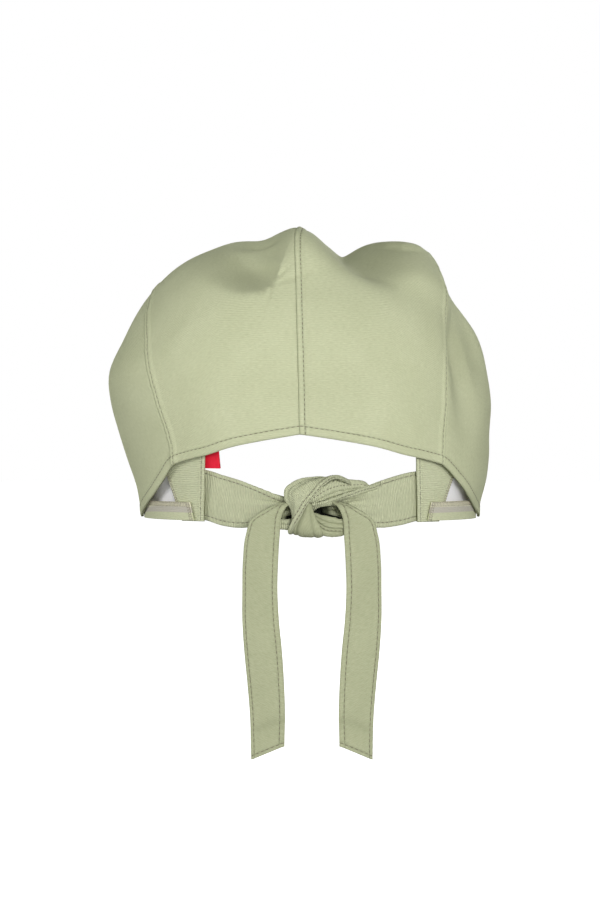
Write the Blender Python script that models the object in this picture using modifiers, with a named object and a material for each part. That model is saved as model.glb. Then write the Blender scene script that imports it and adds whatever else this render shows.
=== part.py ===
"""Catering cap with back ties, in the form it has when worn: metres, +Z up, -Y is the back of the head.

The crown is four cloth panels: two beside the centre seam, which runs from the arched hem at the
nape over the top to the forehead, and one over each ear. Two band ends under the arch carry the tie
straps, which are knotted at the nape and end in two hanging tails.

The origin is the middle of the head opening, level with the rim over the ears.
"""

import math
from typing import NamedTuple

import bmesh
import bpy
import numpy as np

MM = 0.001

# Head opening
RIM_WIDTH = 180 * MM
RIM_DEPTH = 196 * MM
FRONT_RISE = 49 * MM
ARCH_HEIGHT = 43.1 * MM

# Crown
CROWN_WIDTH = 203 * MM
CROWN_DEPTH = 210 * MM
CROWN_HEIGHT = 154.5 * MM
SEAM_OFFSET = 7 * MM
FOLD_DEPTH = 12 * MM

# Cloth
CLOTH = 1.4 * MM
TIE_CLOTH = 2.0 * MM
LINING_CLOTH = 1.0 * MM
PLY_GAP = 0.5 * MM
SEAM_GAP = 0.36 * MM
KNOT_GAP = 0.35 * MM

# Band ends, facings, linings and label; a reach is how far to the side a piece's end lies
TAB_HEIGHT = 36 * MM
TAB_REACH = 54.2 * MM
BAND_DROP = 1.5 * MM
FACING_HEIGHT = 8.4 * MM
FACING_REACH = 60.5 * MM
LINING_HEIGHT = 28 * MM
LABEL_WIDTH = 13 * MM
LABEL_HEIGHT = 11 * MM
LABEL_FOOT = 24.8 * MM
LABEL_REACH = 45.6 * MM

# Ties
STRAP_WIDTH = 24 * MM
TAIL_SPREAD = 34 * MM
TAIL_DROP = 120 * MM
TAIL_OFFSET = 0.5 * MM
KNOT_WIDTH = 31 * MM
KNOT_HEIGHT = 31 * MM
KNOT_DEPTH = 20 * MM
KNOT_LEVEL = 6.8 * MM


class Hoop(NamedTuple):
    """A level ring of the crown: heights and reaches as shares, seam and rim as weights."""

    level: float
    height: float
    left: float
    right: float
    back: float
    front: float
    seam: float
    rim: float


HOOPS = (
    Hoop(0.00, 0.000, 0.90, 0.90, 0.95, 0.95, 0.00, 1.00),
    Hoop(0.07, 0.097, 0.90, 0.97, 0.97, 0.95, 0.20, 0.55),
    Hoop(0.14, 0.194, 0.93, 0.995, 0.98, 0.97, 0.50, 0.25),
    Hoop(0.21, 0.291, 0.953, 1.00, 0.985, 0.975, 0.75, 0.08),
    Hoop(0.275, 0.389, 0.988, 1.00, 0.99, 0.985, 0.80, 0.00),
    Hoop(0.34, 0.486, 0.995, 0.985, 1.00, 1.00, 0.85, 0.00),
    Hoop(0.43, 0.615, 0.908, 0.940, 0.975, 0.985, 0.93, 0.00),
    Hoop(0.53, 0.745, 0.784, 0.826, 0.90, 0.90, 1.00, 0.00),
    Hoop(0.63, 0.842, 0.646, 0.758, 0.78, 0.76, 1.05, 0.00),
    Hoop(0.74, 0.920, 0.438, 0.680, 0.58, 0.56, 1.05, 0.00),
    Hoop(0.87, 0.972, 0.205, 0.40, 0.33, 0.31, 0.95, 0.00),
    Hoop(1.00, 1.000, 0.00, 0.00, 0.00, 0.00, 0.92, 0.00),
)
SQUARENESS = 2.12


class ArchStep(NamedTuple):
    """The hem of the back arch: turn from the nape in degrees, height as a share of ARCH_HEIGHT."""

    turn: float
    height: float


ARCH = (
    ArchStep(0, 1.00),
    ArchStep(12, 0.925),
    ArchStep(22, 0.85),
    ArchStep(30, 0.765),
    ArchStep(38, 0.705),
    ArchStep(45, 0.635),
    ArchStep(52, 0.46),
    ArchStep(60, 0.285),
    ArchStep(68, 0.155),
    ArchStep(77, 0.05),
    ArchStep(84, 0.00),
)


class SeamStep(NamedTuple):
    """A side seam from back to front: turn in degrees, height as a share of CROWN_HEIGHT."""

    along: float
    left_turn: float
    left_height: float
    right_turn: float
    right_height: float


SIDE_SEAM = (
    SeamStep(0.12, 44, 0.30, 46, 0.32),
    SeamStep(0.20, 47, 0.46, 47.5, 0.46),
    SeamStep(0.28, 53.5, 0.58, 52, 0.60),
    SeamStep(0.36, 62, 0.67, 59, 0.72),
    SeamStep(0.43, 74, 0.75, 71, 0.82),
    SeamStep(0.50, 90, 0.785, 90, 0.85),
    SeamStep(0.57, 106, 0.75, 109, 0.82),
    SeamStep(0.66, 117, 0.67, 120, 0.72),
    SeamStep(0.77, 127, 0.55, 127, 0.57),
    SeamStep(0.88, 132, 0.39, 132, 0.39),
)
SEAM_FOOT_BACK = 45
SEAM_FOOT_FRONT = 135
SIDE_FRONT_TURN = 112


class Dent(NamedTuple):
    """A hollow in the worn crown. Places are shares of half width, half depth and height.

    Its reaches are shares of half CROWN_WIDTH, lean is in degrees, depth is a share of FOLD_DEPTH,
    and edge is how steeply it begins.
    """

    x: float
    y: float
    z: float
    left: float
    right: float
    back: float
    front: float
    down: float
    up: float
    lean: float
    depth: float
    edge: float


DENTS = {
    "seam_ridge": Dent(-0.03, -0.15, 0.97, 0.08, 0.07, 0.60, 0.50, 0.5, 0.5, 0, -0.20, 2.4),
    "right_valley": Dent(0.20, -0.05, 0.93, 0.19, 0.155, 0.56, 0.60, 0.6, 0.6, 0, 1.38, 1.4),
    "right_hollow": Dent(0.31, -0.50, 0.86, 0.17, 0.27, 0.44, 0.34, 0.09, 0.22, -34, 1.15, 3.0),
    "left_hollow": Dent(-0.245, -0.63, 0.85, 0.27, 0.10, 0.40, 0.36, 0.13, 0.36, 18, 1.60, 2.8),
    "left_trough": Dent(-0.25, -0.20, 0.90, 0.15, 0.09, 0.36, 0.40, 0.3, 0.3, 20, 0.35, 2.0),
    "right_crease": Dent(0.76, -0.46, 0.58, 0.07, 0.07, 0.30, 0.22, 0.34, 0.30, 4, 0.40, 2.0),
}
DENT_CENTRE = 0.35
DENT_ENDS = 4


class StrapStep(NamedTuple):
    """A tie strap from the band end to the knot: heights as shares of STRAP_WIDTH."""

    along: float
    top: float
    bottom: float
    bow: float


STRAP = (
    StrapStep(0.00, 0.98, -0.03, 0.00),
    StrapStep(0.17, 0.93, -0.11, 0.05),
    StrapStep(0.35, 0.81, -0.155, 0.10),
    StrapStep(0.52, 0.665, -0.10, 0.12),
    StrapStep(0.67, 0.535, 0.03, 0.10),
    StrapStep(0.82, 0.44, 0.14, 0.00),
    StrapStep(0.89, 0.40, 0.18, -0.05),
)
STRAP_TUCK = 6 * MM


class TailStep(NamedTuple):
    """A hanging end: sideways places as shares of TAIL_SPREAD, drops as shares of TAIL_DROP.

    Lifts are heights over the rim as shares of KNOT_HEIGHT, and out is a share of KNOT_DEPTH.
    """

    outer: float
    inner: float
    outer_lift: float
    inner_lift: float
    outer_drop: float
    inner_drop: float
    out: float


TAIL = (
    TailStep(0.25, 0.20, 0.31, 0.14, 0.00, 0.00, 0.00),
    TailStep(0.48, 0.34, 0.27, 0.08, 0.00, 0.00, 0.17),
    TailStep(0.70, 0.42, 0.16, -0.02, 0.00, 0.00, 0.27),
    TailStep(0.87, 0.455, 0.04, -0.09, 0.00, 0.00, 0.25),
    TailStep(0.955, 0.47, 0.00, 0.00, 0.055, 0.068, 0.20),
    TailStep(1.00, 0.50, 0.00, 0.00, 0.165, 0.165, 0.15),
    TailStep(1.01, 0.51, 0.00, 0.00, 0.29, 0.29, 0.13),
    TailStep(1.01, 0.49, 0.00, 0.00, 0.41, 0.41, 0.14),
    TailStep(0.98, 0.445, 0.00, 0.00, 0.54, 0.54, 0.17),
    TailStep(0.935, 0.415, 0.00, 0.00, 0.67, 0.67, 0.16),
    TailStep(0.895, 0.40, 0.00, 0.00, 0.82, 0.81, 0.12),
    TailStep(0.88, 0.41, 0.00, 0.00, 1.00, 0.96, 0.10),
)


class KnotStep(NamedTuple):
    """One station of a wrap in the knot: places and sizes are shares of the knot's own.

    Lean is the direction of the wrap's width, in degrees up from +X.
    """

    x: float
    out: float
    z: float
    width: float
    thick: float
    lean: float


KNOT_WRAPS = {
    "core": (
        KnotStep(-0.46, -0.08, 0.02, 0.36, 0.26, 90),
        KnotStep(-0.16, -0.12, -0.05, 0.54, 0.40, 90),
        KnotStep(0.23, -0.14, -0.07, 0.60, 0.40, 90),
        KnotStep(0.54, -0.10, -0.04, 0.42, 0.28, 90),
    ),
    "main_wrap": (
        KnotStep(0.50, -0.25, 0.33, 0.30, 0.15, 95),
        KnotStep(0.31, 0.12, 0.355, 0.34, 0.20, 97),
        KnotStep(0.02, 0.32, 0.28, 0.46, 0.25, 116),
        KnotStep(-0.21, 0.42, 0.17, 0.54, 0.25, 140),
        KnotStep(-0.26, 0.45, 0.00, 0.33, 0.25, 160),
        KnotStep(-0.28, 0.37, -0.19, 0.28, 0.25, 155),
        KnotStep(-0.31, 0.12, -0.35, 0.26, 0.22, 150),
        KnotStep(-0.30, -0.20, -0.36, 0.24, 0.20, 150),
    ),
    "top_band": (
        KnotStep(0.88, -0.15, 0.30, 0.16, 0.14, 105),
        KnotStep(0.75, 0.05, 0.33, 0.24, 0.17, 105),
        KnotStep(0.52, 0.22, 0.30, 0.31, 0.20, 107),
        KnotStep(0.28, 0.22, 0.215, 0.31, 0.20, 112),
        KnotStep(0.05, 0.10, 0.10, 0.26, 0.20, 115),
        KnotStep(-0.14, -0.05, 0.02, 0.23, 0.20, 115),
    ),
    "middle_lobe": (
        KnotStep(-0.12, 0.00, 0.04, 0.20, 0.20, 10),
        KnotStep(-0.10, 0.24, -0.14, 0.28, 0.24, 5),
        KnotStep(-0.09, 0.24, -0.33, 0.38, 0.26, 0),
        KnotStep(-0.03, -0.02, -0.44, 0.36, 0.22, 0),
        KnotStep(0.02, -0.25, -0.36, 0.26, 0.20, 0),
    ),
    "lower_lobe": (
        KnotStep(-0.02, 0.05, -0.10, 0.20, 0.20, 50),
        KnotStep(0.12, 0.20, -0.27, 0.28, 0.24, 55),
        KnotStep(0.30, 0.16, -0.365, 0.31, 0.25, 75),
        KnotStep(0.49, 0.00, -0.36, 0.30, 0.23, 90),
        KnotStep(0.62, -0.22, -0.32, 0.24, 0.20, 95),
    ),
    "left_return": (
        KnotStep(-0.50, -0.12, -0.22, 0.22, 0.16, 90),
        KnotStep(-0.24, 0.00, -0.25, 0.32, 0.24, 90),
        KnotStep(0.00, 0.04, -0.30, 0.30, 0.22, 90),
    ),
}
KNOT_SIDES = 10
RINGS_PER_STEP = 2

# Faces along and across each kind of piece, the crown's being smaller at the back and the seam
BACK_CROWDING = 1.25
SEAM_CROWDING = 1.2
CROWN_MESH = (44, 16)
SIDE_MESH = (20, 9)
TAB_MESH = (6, 6)
FACING_MESH = (14, 2)
LINING_MESH = (8, 4)
LABEL_MESH = (2, 2)
STRAP_MESH = (14, 4)
TAIL_MESH = (26, 3)

CLOTH_COLOUR = (0.50, 0.54, 0.31, 1)
FACING_COLOUR = (0.42, 0.41, 0.33, 1)
LINING_COLOUR = (0.60, 0.58, 0.60, 1)
LABEL_COLOUR = (0.70, 0.01, 0.03, 1)


def clear_scene():
    for obj in list(bpy.data.objects):
        bpy.data.objects.remove(obj, do_unlink=True)


def material(name, colour):
    """Matt cloth."""
    made = bpy.data.materials.new(name)
    made.use_nodes = True
    shader = made.node_tree.nodes["Principled BSDF"]
    shader.inputs["Base Color"].default_value = colour
    shader.inputs["Roughness"].default_value = 0.9
    shader.inputs["Metallic"].default_value = 0.0
    return made


def curve_through(places, values, where):
    """A smooth curve through a table's rows, whose slope at a row is that between its neighbours."""
    places = np.asarray(places, float)
    values = np.asarray(values, float)
    slopes = np.gradient(values, places, axis=0)
    where = np.clip(np.asarray(where, float), places[0], places[-1])
    row = np.clip(np.searchsorted(places, where, side="right") - 1, 0, len(places) - 2)
    span = places[row + 1] - places[row]
    part = (where - places[row]) / span
    if values.ndim > 1:
        span = span[..., None]
        part = part[..., None]
    start = (1 + 2 * part) * (1 - part) ** 2 * values[row]
    end = part**2 * (3 - 2 * part) * values[row + 1]
    leave = part * (1 - part) ** 2 * span * slopes[row]
    arrive = part**2 * (part - 1) * span * slopes[row + 1]
    return start + end + leave + arrive


def hoop_columns():
    """The hoops, and one more past the top, where the crown comes down again on the far side."""
    rows = [list(hoop) for hoop in HOOPS]
    last = HOOPS[-2]
    reaches = [-last.left, -last.right, -last.back, -last.front]
    rows.append([2 - last.level, last.height] + reaches + [last.seam, last.rim])
    rows = np.array(rows)
    return rows[:, 0], rows[:, 1:]


HOOP_LEVELS, HOOP_SHARES = hoop_columns()


def crown_surface(turn, level):
    """The middle of the cloth, before it dents: turn is radians from the nape, positive to +X."""
    share = curve_through(HOOP_LEVELS, HOOP_SHARES, level)
    height, left, right, back, front, seam, rim = np.moveaxis(share, -1, 0)
    across = np.where(np.sin(turn) < 0, left, right) * CROWN_WIDTH / 2
    ahead = np.where(np.cos(turn) > 0, back, front) * CROWN_DEPTH / 2
    across = (1 - rim) * across + rim * RIM_WIDTH / 2
    ahead = (1 - rim) * ahead + rim * RIM_DEPTH / 2
    corner = (np.abs(np.sin(turn)) ** SQUARENESS + np.abs(np.cos(turn)) ** SQUARENESS) ** (-1 / SQUARENESS)
    x = across * corner * np.sin(turn) - seam * SEAM_OFFSET
    y = -ahead * corner * np.cos(turn)
    return np.stack([x, y, height * CROWN_HEIGHT], axis=-1)


def dented(points):
    """Draws the cloth towards the inside of the crown at each dent."""
    scale = np.array([CROWN_WIDTH / 2, CROWN_DEPTH / 2, CROWN_HEIGHT])
    inward = np.array([0, 0, DENT_CENTRE * CROWN_HEIGHT]) - points
    inward /= np.linalg.norm(inward, axis=-1, keepdims=True)
    sink = np.zeros(points.shape[:-1])
    for dent in DENTS.values():
        apart = points - np.array([dent.x, dent.y, dent.z]) * scale
        lean = math.radians(dent.lean)
        along = apart[..., 0] * math.cos(lean) + apart[..., 2] * math.sin(lean)
        above = apart[..., 2] * math.cos(lean) - apart[..., 0] * math.sin(lean)
        half = CROWN_WIDTH / 2
        reach_x = np.where(along < 0, dent.left, dent.right) * half
        reach_y = np.where(apart[..., 1] < 0, dent.back, dent.front) * half
        reach_z = np.where(above < 0, dent.down, dent.up) * half
        far = np.hypot(along / reach_x, above / reach_z) ** dent.edge
        far += np.abs(apart[..., 1] / reach_y) ** DENT_ENDS
        sink += dent.depth * FOLD_DEPTH * np.exp(-far)
    return points + inward * sink[..., None]


def level_at(height):
    """The crown level that lies at this height."""
    levels = np.linspace(0, 1, 401)
    heights = curve_through(HOOP_LEVELS, HOOP_SHARES[:, 0], levels) * CROWN_HEIGHT
    return np.interp(height, heights, levels)


def edge_height(turn):
    """The crown's lower edge: the arch over the nape, level at the ears, rising to the forehead."""
    degrees = np.abs(np.degrees(turn))
    steps = np.array(ARCH)
    corner = ARCH[-1].turn
    arch = ARCH_HEIGHT * curve_through(steps[:, 0], steps[:, 1], degrees)
    ahead = np.clip((degrees - corner) / (180 - corner), 0, 1)
    return arch * (degrees < corner) + FRONT_RISE * (1 - np.cos(math.pi * ahead)) / 2


def on_disc(turn, level):
    """The crown laid flat as a disc: its top at the middle, its rim a circle of radius 1."""
    return np.stack([(1 - level) * np.sin(turn), -(1 - level) * np.cos(turn)], axis=-1)


def from_disc(place):
    """The crown's surface at a place of the disc."""
    level = 1 - np.hypot(place[..., 0], place[..., 1])
    return dented(crown_surface(np.arctan2(place[..., 0], -place[..., 1]), level))


def edge_on_disc(side, first, last, part):
    """The lower edge between two turns, in degrees, as places of the disc."""
    turn = side * np.radians(first + (last - first) * part)
    return on_disc(turn, level_at(edge_height(turn)))


def side_seam_on_disc(side, part):
    """The seam between crown and side panel, from the arch to the forehead's edge."""
    rows = []
    for step in SIDE_SEAM:
        turn, height = (step.left_turn, step.left_height) if side < 0 else (step.right_turn, step.right_height)
        rows.append([step.along, math.radians(turn), float(level_at(height * CROWN_HEIGHT))])
    for along, turn in ((0, math.radians(SEAM_FOOT_BACK)), (1, math.radians(SEAM_FOOT_FRONT))):
        rows.append([along, turn, float(level_at(edge_height(turn)))])
    rows = np.array(sorted(rows))
    along = curve_through(rows[:, 0], rows[:, 1:], part)
    return on_disc(side * along[..., 0], along[..., 1])


def centre_seam_on_disc(part):
    """The seam over the top, from the arch to the middle of the forehead."""
    back = float(level_at(edge_height(0.0)))
    front = float(level_at(edge_height(math.pi)))
    ahead = (back - 1) + part * (2 - back - front)
    return np.stack([np.zeros_like(ahead), ahead], axis=-1)


def patch(inner, outer, back, front, along, across):
    """Fills four edges of the disc: inner and outer run along it, back and front across it."""
    a = along[..., None]
    c = across[..., None]
    corners = (1 - a) * (1 - c) * inner(0 * along) + (1 - a) * c * outer(0 * along)
    corners += a * (1 - c) * inner(0 * along + 1) + a * c * outer(0 * along + 1)
    ruled = (1 - c) * inner(along) + c * outer(along) + (1 - a) * back(across) + a * front(across)
    return ruled - corners


def crown_panel(side):
    def place(along, across):
        along = along**BACK_CROWDING
        across = across**SEAM_CROWDING
        return from_disc(
            patch(
                centre_seam_on_disc,
                lambda part: side_seam_on_disc(side, part),
                lambda part: edge_on_disc(side, 0, SEAM_FOOT_BACK, part),
                lambda part: edge_on_disc(side, 180, SEAM_FOOT_FRONT, part),
                along,
                across,
            )
        )

    return place


def side_panel(side):
    corner = ARCH[-1].turn

    def place(along, across):
        return from_disc(
            patch(
                lambda part: side_seam_on_disc(side, part),
                lambda part: edge_on_disc(side, corner, SIDE_FRONT_TURN, part),
                lambda part: edge_on_disc(side, SEAM_FOOT_BACK, corner, part),
                lambda part: edge_on_disc(side, SEAM_FOOT_FRONT, SIDE_FRONT_TURN, part),
                along,
                across,
            )
        )

    return place


def inside_crown(turn, height, inset):
    """A place inside the crown's wall: turn in degrees, signed, and how far in from the wall's middle."""
    turn = np.radians(turn)
    level = level_at(height)
    here = crown_surface(turn, level)
    here[..., 2] += np.minimum(height, 0)
    step = 0.01
    around = crown_surface(turn + step, level) - crown_surface(turn - step, level)
    upward = crown_surface(turn, level + step) - crown_surface(turn, np.maximum(level - step, 0))
    normal = np.cross(around, upward)
    normal /= np.linalg.norm(normal, axis=-1, keepdims=True)
    outward = np.sum(normal * here, axis=-1, keepdims=True) > 0
    return here - np.where(outward, normal, -normal) * inset


def inset_of(*plies):
    """How far in from the middle of the crown's wall the middle of the last of these plies lies."""
    return CLOTH / 2 + sum(plies[:-1]) + plies[-1] / 2 + PLY_GAP * len(plies)


def turn_at(side, reach, height, inset):
    """The turn, in degrees, at which the inside of the wall lies this far to the side."""
    turns = np.linspace(0, 88, 89)
    reaches = side * inside_crown(side * turns, np.full_like(turns, height), inset)[:, 0]
    return side * np.interp(reach, reaches, turns)


def inside_at(side, reach, height, inset):
    """The place inside the crown's wall with this height and this reach to the side."""
    return inside_crown(np.vectorize(turn_at)(side, reach, height, inset), height, inset)


def corner_piece(side, near, far, heights, inset):
    """A ply at a lower corner: near and far hold its reach at the foot and at the top of each end."""

    def place(along, across):
        first = near[0] + (near[1] - near[0]) * across
        last = far[0] + (far[1] - far[0]) * across
        foot, top = heights
        return inside_at(side, first + (last - first) * along, foot + (top - foot) * across, inset)

    return place


def eased(points, gap):
    """Draws a grid's edges in by half the gap, so that neighbours stay clear of each other."""
    for axis in (0, 1):
        turned = np.swapaxes(points, 0, axis)
        for edge, inner in ((0, 1), (-1, -2)):
            inward = turned[inner] - turned[edge]
            length = np.linalg.norm(inward, axis=-1, keepdims=True)
            turned[edge] += inward / np.maximum(length, gap) * gap / 2
    return points


def cloth(name, place, mesh_size, thickness, look, gap=SEAM_GAP):
    """A cloth piece: a flat grid laid on its form, then given its thickness."""
    rows, columns = mesh_size
    grid = bmesh.new()
    bmesh.ops.create_grid(grid, x_segments=rows, y_segments=columns, size=0.5)
    along = np.array([vert.co.x for vert in grid.verts]) + 0.5
    across = np.array([vert.co.y for vert in grid.verts]) + 0.5
    order = np.lexsort((np.round(across, 6), np.round(along, 6)))
    shape = (len(set(np.round(along, 6))), len(set(np.round(across, 6))))
    points = place(along[order].reshape(shape), across[order].reshape(shape))
    points = eased(points, gap).reshape(-1, 3)
    verts = list(grid.verts)
    for index, point in zip(order, points):
        verts[index].co = point
    bmesh.ops.recalc_face_normals(grid, faces=grid.faces)
    mesh = bpy.data.meshes.new(name)
    grid.to_mesh(mesh)
    grid.free()
    obj = add_object(name, mesh, look)
    wall = obj.modifiers.new("wall", "SOLIDIFY")
    wall.thickness = thickness
    wall.offset = 0
    return obj


def add_object(name, mesh, look, group="catering_cap"):
    mesh.shade_smooth()
    obj = bpy.data.objects.new(name, mesh)
    obj.data.materials.append(look)
    if group not in bpy.data.collections:
        bpy.context.scene.collection.children.link(bpy.data.collections.new(group))
    bpy.data.collections[group].objects.link(obj)
    return obj


def nape():
    """Where the ties meet: how far back the middle of the knot lies."""
    return RIM_DEPTH / 2 + CLOTH + TIE_CLOTH


def strap(side):
    """From under the band end to the knot, narrowing as it is drawn in."""
    inset = inset_of(LINING_CLOTH, CLOTH, TIE_CLOTH) + PLY_GAP
    start = STRAP[0]
    rows = []
    for tuck in (STRAP_TUCK, 0):
        top = inside_at(side, TAB_REACH + tuck, start.top * STRAP_WIDTH, inset)
        bottom = inside_at(side, TAB_REACH + tuck, start.bottom * STRAP_WIDTH, inset)
        rows.append([-tuck / TAB_REACH, *top, *bottom])
    anchor = (np.array(rows[-1][1:4]) + np.array(rows[-1][4:7])) / 2
    for step in STRAP[1:]:
        x = anchor[0] * (1 - step.along)
        y = anchor[1] * (1 - step.along) - nape() * step.along - step.bow * STRAP_WIDTH
        rows.append([step.along, x, y, step.top * STRAP_WIDTH, x, y, step.bottom * STRAP_WIDTH])
    return between_edges(np.array(rows))


def between_edges(rows):
    """A tie as a surface between its two edges: each row holds how far along it is and a point of each."""
    first, last = rows[0, 0], rows[-1, 0]

    def place(along, across):
        both = curve_through(rows[:, 0], rows[:, 1:], first + (last - first) * along)
        return both[..., 3:] * (1 - across[..., None]) + both[..., :3] * across[..., None]

    return place


def tail(side):
    """From the knot over the strap's lower edge, then straight down."""
    rows = []
    for step in TAIL:
        out = -nape() - step.out * KNOT_DEPTH
        outer_z = step.outer_lift * KNOT_HEIGHT - step.outer_drop * TAIL_DROP
        inner_z = step.inner_lift * KNOT_HEIGHT - step.inner_drop * TAIL_DROP
        outer_x = side * step.outer * TAIL_SPREAD + TAIL_OFFSET
        inner_x = side * step.inner * TAIL_SPREAD + TAIL_OFFSET
        rows.append([outer_x, out, outer_z, inner_x, out, inner_z])
    rows = np.array(rows)
    lengths = np.linalg.norm(np.diff((rows[:, :3] + rows[:, 3:]) / 2, axis=0), axis=1)
    far = np.concatenate([[0], np.cumsum(lengths)])
    return between_edges(np.column_stack([far / far[-1], rows]))


def wrap_solid(name, steps, grow, look, group):
    """One turn of cloth in the knot: an oval drawn along its stations, closed at both ends."""
    table = np.array(steps)
    size = np.array([KNOT_WIDTH, -KNOT_DEPTH, KNOT_HEIGHT])
    centre = np.array([0, -nape(), KNOT_LEVEL])
    parts = np.linspace(0, len(steps) - 1, RINGS_PER_STEP * (len(steps) - 1) + 1)
    fine = curve_through(np.arange(len(steps)), table, parts)
    path = centre + fine[:, :3] * size
    heading = np.gradient(path, axis=0)
    ring_turns = np.arange(KNOT_SIDES) * 2 * math.pi / KNOT_SIDES
    mesh = bmesh.new()
    rings = []
    for middle, ahead, row in zip(path, heading, fine):
        lean = math.radians(row[5])
        through = np.cross(ahead, [math.cos(lean), 0, math.sin(lean)])
        through /= np.linalg.norm(through)
        across = np.cross(through, ahead)
        across /= np.linalg.norm(across)
        half_width = row[3] * KNOT_WIDTH / 2 + grow
        half_thick = row[4] * KNOT_DEPTH / 2 + grow
        ring = [
            mesh.verts.new(middle + across * half_width * math.cos(turn) + through * half_thick * math.sin(turn))
            for turn in ring_turns
        ]
        rings.append([mesh.edges.new((ring[i - 1], ring[i])) for i in range(KNOT_SIDES)])
    for first, second in zip(rings, rings[1:]):
        bmesh.ops.bridge_loops(mesh, edges=first + second)
    bmesh.ops.holes_fill(mesh, edges=mesh.edges, sides=KNOT_SIDES)
    bmesh.ops.recalc_face_normals(mesh, faces=mesh.faces)
    data = bpy.data.meshes.new(name)
    mesh.to_mesh(data)
    mesh.free()
    return add_object(name, data, look, group)


def knot(name, grow, look, group):
    """All the wraps of the knot as one solid."""
    names = list(KNOT_WRAPS)
    body = wrap_solid(name, KNOT_WRAPS[names[0]], grow, look, group)
    for wrap in names[1:]:
        other = wrap_solid(f"{name}_{wrap}", KNOT_WRAPS[wrap], grow, look, "knot_makers")
        other.hide_render = True
        other.display_type = "WIRE"
        joined = body.modifiers.new(wrap, "BOOLEAN")
        joined.operation = "UNION"
        joined.object = other
    return body


def clear_of(obj, cutter):
    """Leaves a gap between a tie and the knot."""
    cut = obj.modifiers.new("knot_gap", "BOOLEAN")
    cut.operation = "DIFFERENCE"
    cut.object = cutter


def build():
    clear_scene()
    twill = material("twill", CLOTH_COLOUR)
    serged = material("serged_facing", FACING_COLOUR)
    lining = material("lining", LINING_COLOUR)
    red = material("label", LABEL_COLOUR)
    knot("knot", 0, twill, "catering_cap")
    cutter = knot("knot_clearance", KNOT_GAP, twill, "knot_makers")
    cutter.hide_render = True
    cutter.display_type = "WIRE"

    half = RIM_WIDTH / 2
    facing_inset = inset_of(LINING_CLOTH)
    tab_inset = inset_of(LINING_CLOTH, CLOTH)
    lining_inset = inset_of(LINING_CLOTH, CLOTH, LINING_CLOTH)
    for side, name in ((-1, "left"), (1, "right")):
        cloth(f"crown_{name}", crown_panel(side), CROWN_MESH, CLOTH, twill)
        cloth(f"side_{name}", side_panel(side), SIDE_MESH, CLOTH, twill)
        tab_ends = ((TAB_REACH, TAB_REACH - MM), (0.725 * half, 0.87 * half))
        tab = corner_piece(side, *tab_ends, (-BAND_DROP, TAB_HEIGHT), tab_inset)
        cloth(f"tab_{name}", tab, TAB_MESH, CLOTH, twill)
        facing_ends = ((FACING_REACH - MM, FACING_REACH + MM), (0.96 * half, 0.96 * half))
        facing = corner_piece(side, *facing_ends, (-BAND_DROP * 0.6, FACING_HEIGHT), facing_inset)
        cloth(f"facing_{name}", facing, FACING_MESH, LINING_CLOTH, serged)
        lining_ends = ((FACING_REACH + 6 * MM, FACING_REACH + 8 * MM), (0.95 * half, 0.91 * half))
        lined = corner_piece(side, *lining_ends, (FACING_HEIGHT / 2, LINING_HEIGHT), lining_inset)
        cloth(f"lining_{name}", lined, LINING_MESH, LINING_CLOTH, lining)
        tie = cloth(f"strap_{name}", strap(side), STRAP_MESH, TIE_CLOTH, twill)
        clear_of(tie, cutter)
        end = cloth(f"tail_{name}", tail(side), TAIL_MESH, TIE_CLOTH, twill)
        clear_of(end, cutter)

    label_ends = (LABEL_REACH, LABEL_REACH + MM), (LABEL_REACH + LABEL_WIDTH, LABEL_REACH + LABEL_WIDTH)
    flap = corner_piece(-1, *label_ends, (LABEL_FOOT, LABEL_FOOT + LABEL_HEIGHT), lining_inset)
    cloth("label", flap, LABEL_MESH, LINING_CLOTH, red)


build()
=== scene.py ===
"""Catering cap with back ties, dressed for its picture: metres, +Z up, -Y is the back of the head.

Every cloth piece is laid on the same form as in the part's source, with a finer grid that holds the
hems, the stitched seams, the serged edges and the folds.
"""

import math
from typing import NamedTuple

import bmesh
import bpy
import numpy as np
from mathutils import Matrix, kdtree


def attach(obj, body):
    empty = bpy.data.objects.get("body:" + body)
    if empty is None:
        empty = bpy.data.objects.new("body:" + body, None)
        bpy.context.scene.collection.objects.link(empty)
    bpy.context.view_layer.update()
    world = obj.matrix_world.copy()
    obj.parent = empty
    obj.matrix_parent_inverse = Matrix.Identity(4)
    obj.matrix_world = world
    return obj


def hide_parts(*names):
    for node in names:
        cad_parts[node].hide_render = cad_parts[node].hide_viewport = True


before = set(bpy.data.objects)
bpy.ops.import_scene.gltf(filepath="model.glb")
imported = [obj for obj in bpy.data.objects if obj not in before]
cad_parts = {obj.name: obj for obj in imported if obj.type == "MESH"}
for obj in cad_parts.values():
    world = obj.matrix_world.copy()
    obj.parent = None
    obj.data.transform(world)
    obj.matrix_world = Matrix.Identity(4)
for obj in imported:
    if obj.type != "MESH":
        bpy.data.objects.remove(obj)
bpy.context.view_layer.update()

MM = 0.001

# Picture: the lens in mm, and where the camera stands
LENS = 104.4
CAMERA_PLACE = (-5.4 * MM, -1400 * MM, 35.4 * MM)

# Head opening
RIM_WIDTH = 180 * MM
RIM_DEPTH = 196 * MM
FRONT_RISE = 49 * MM
ARCH_HEIGHT = 43.1 * MM

# Crown
CROWN_WIDTH = 203 * MM
CROWN_DEPTH = 210 * MM
CROWN_HEIGHT = 154.5 * MM
SEAM_OFFSET = 7 * MM
FOLD_DEPTH = 12 * MM

# Cloth; a tie is placed with TIE_CLOTH and drawn with the thinner TIE_WALL
CLOTH = 1.4 * MM
TIE_CLOTH = 2.0 * MM
TIE_WALL = 1.6 * MM
WRAP_WALL = 1.3 * MM
LINING_CLOTH = 1.0 * MM
PLY_GAP = 0.5 * MM

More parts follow.
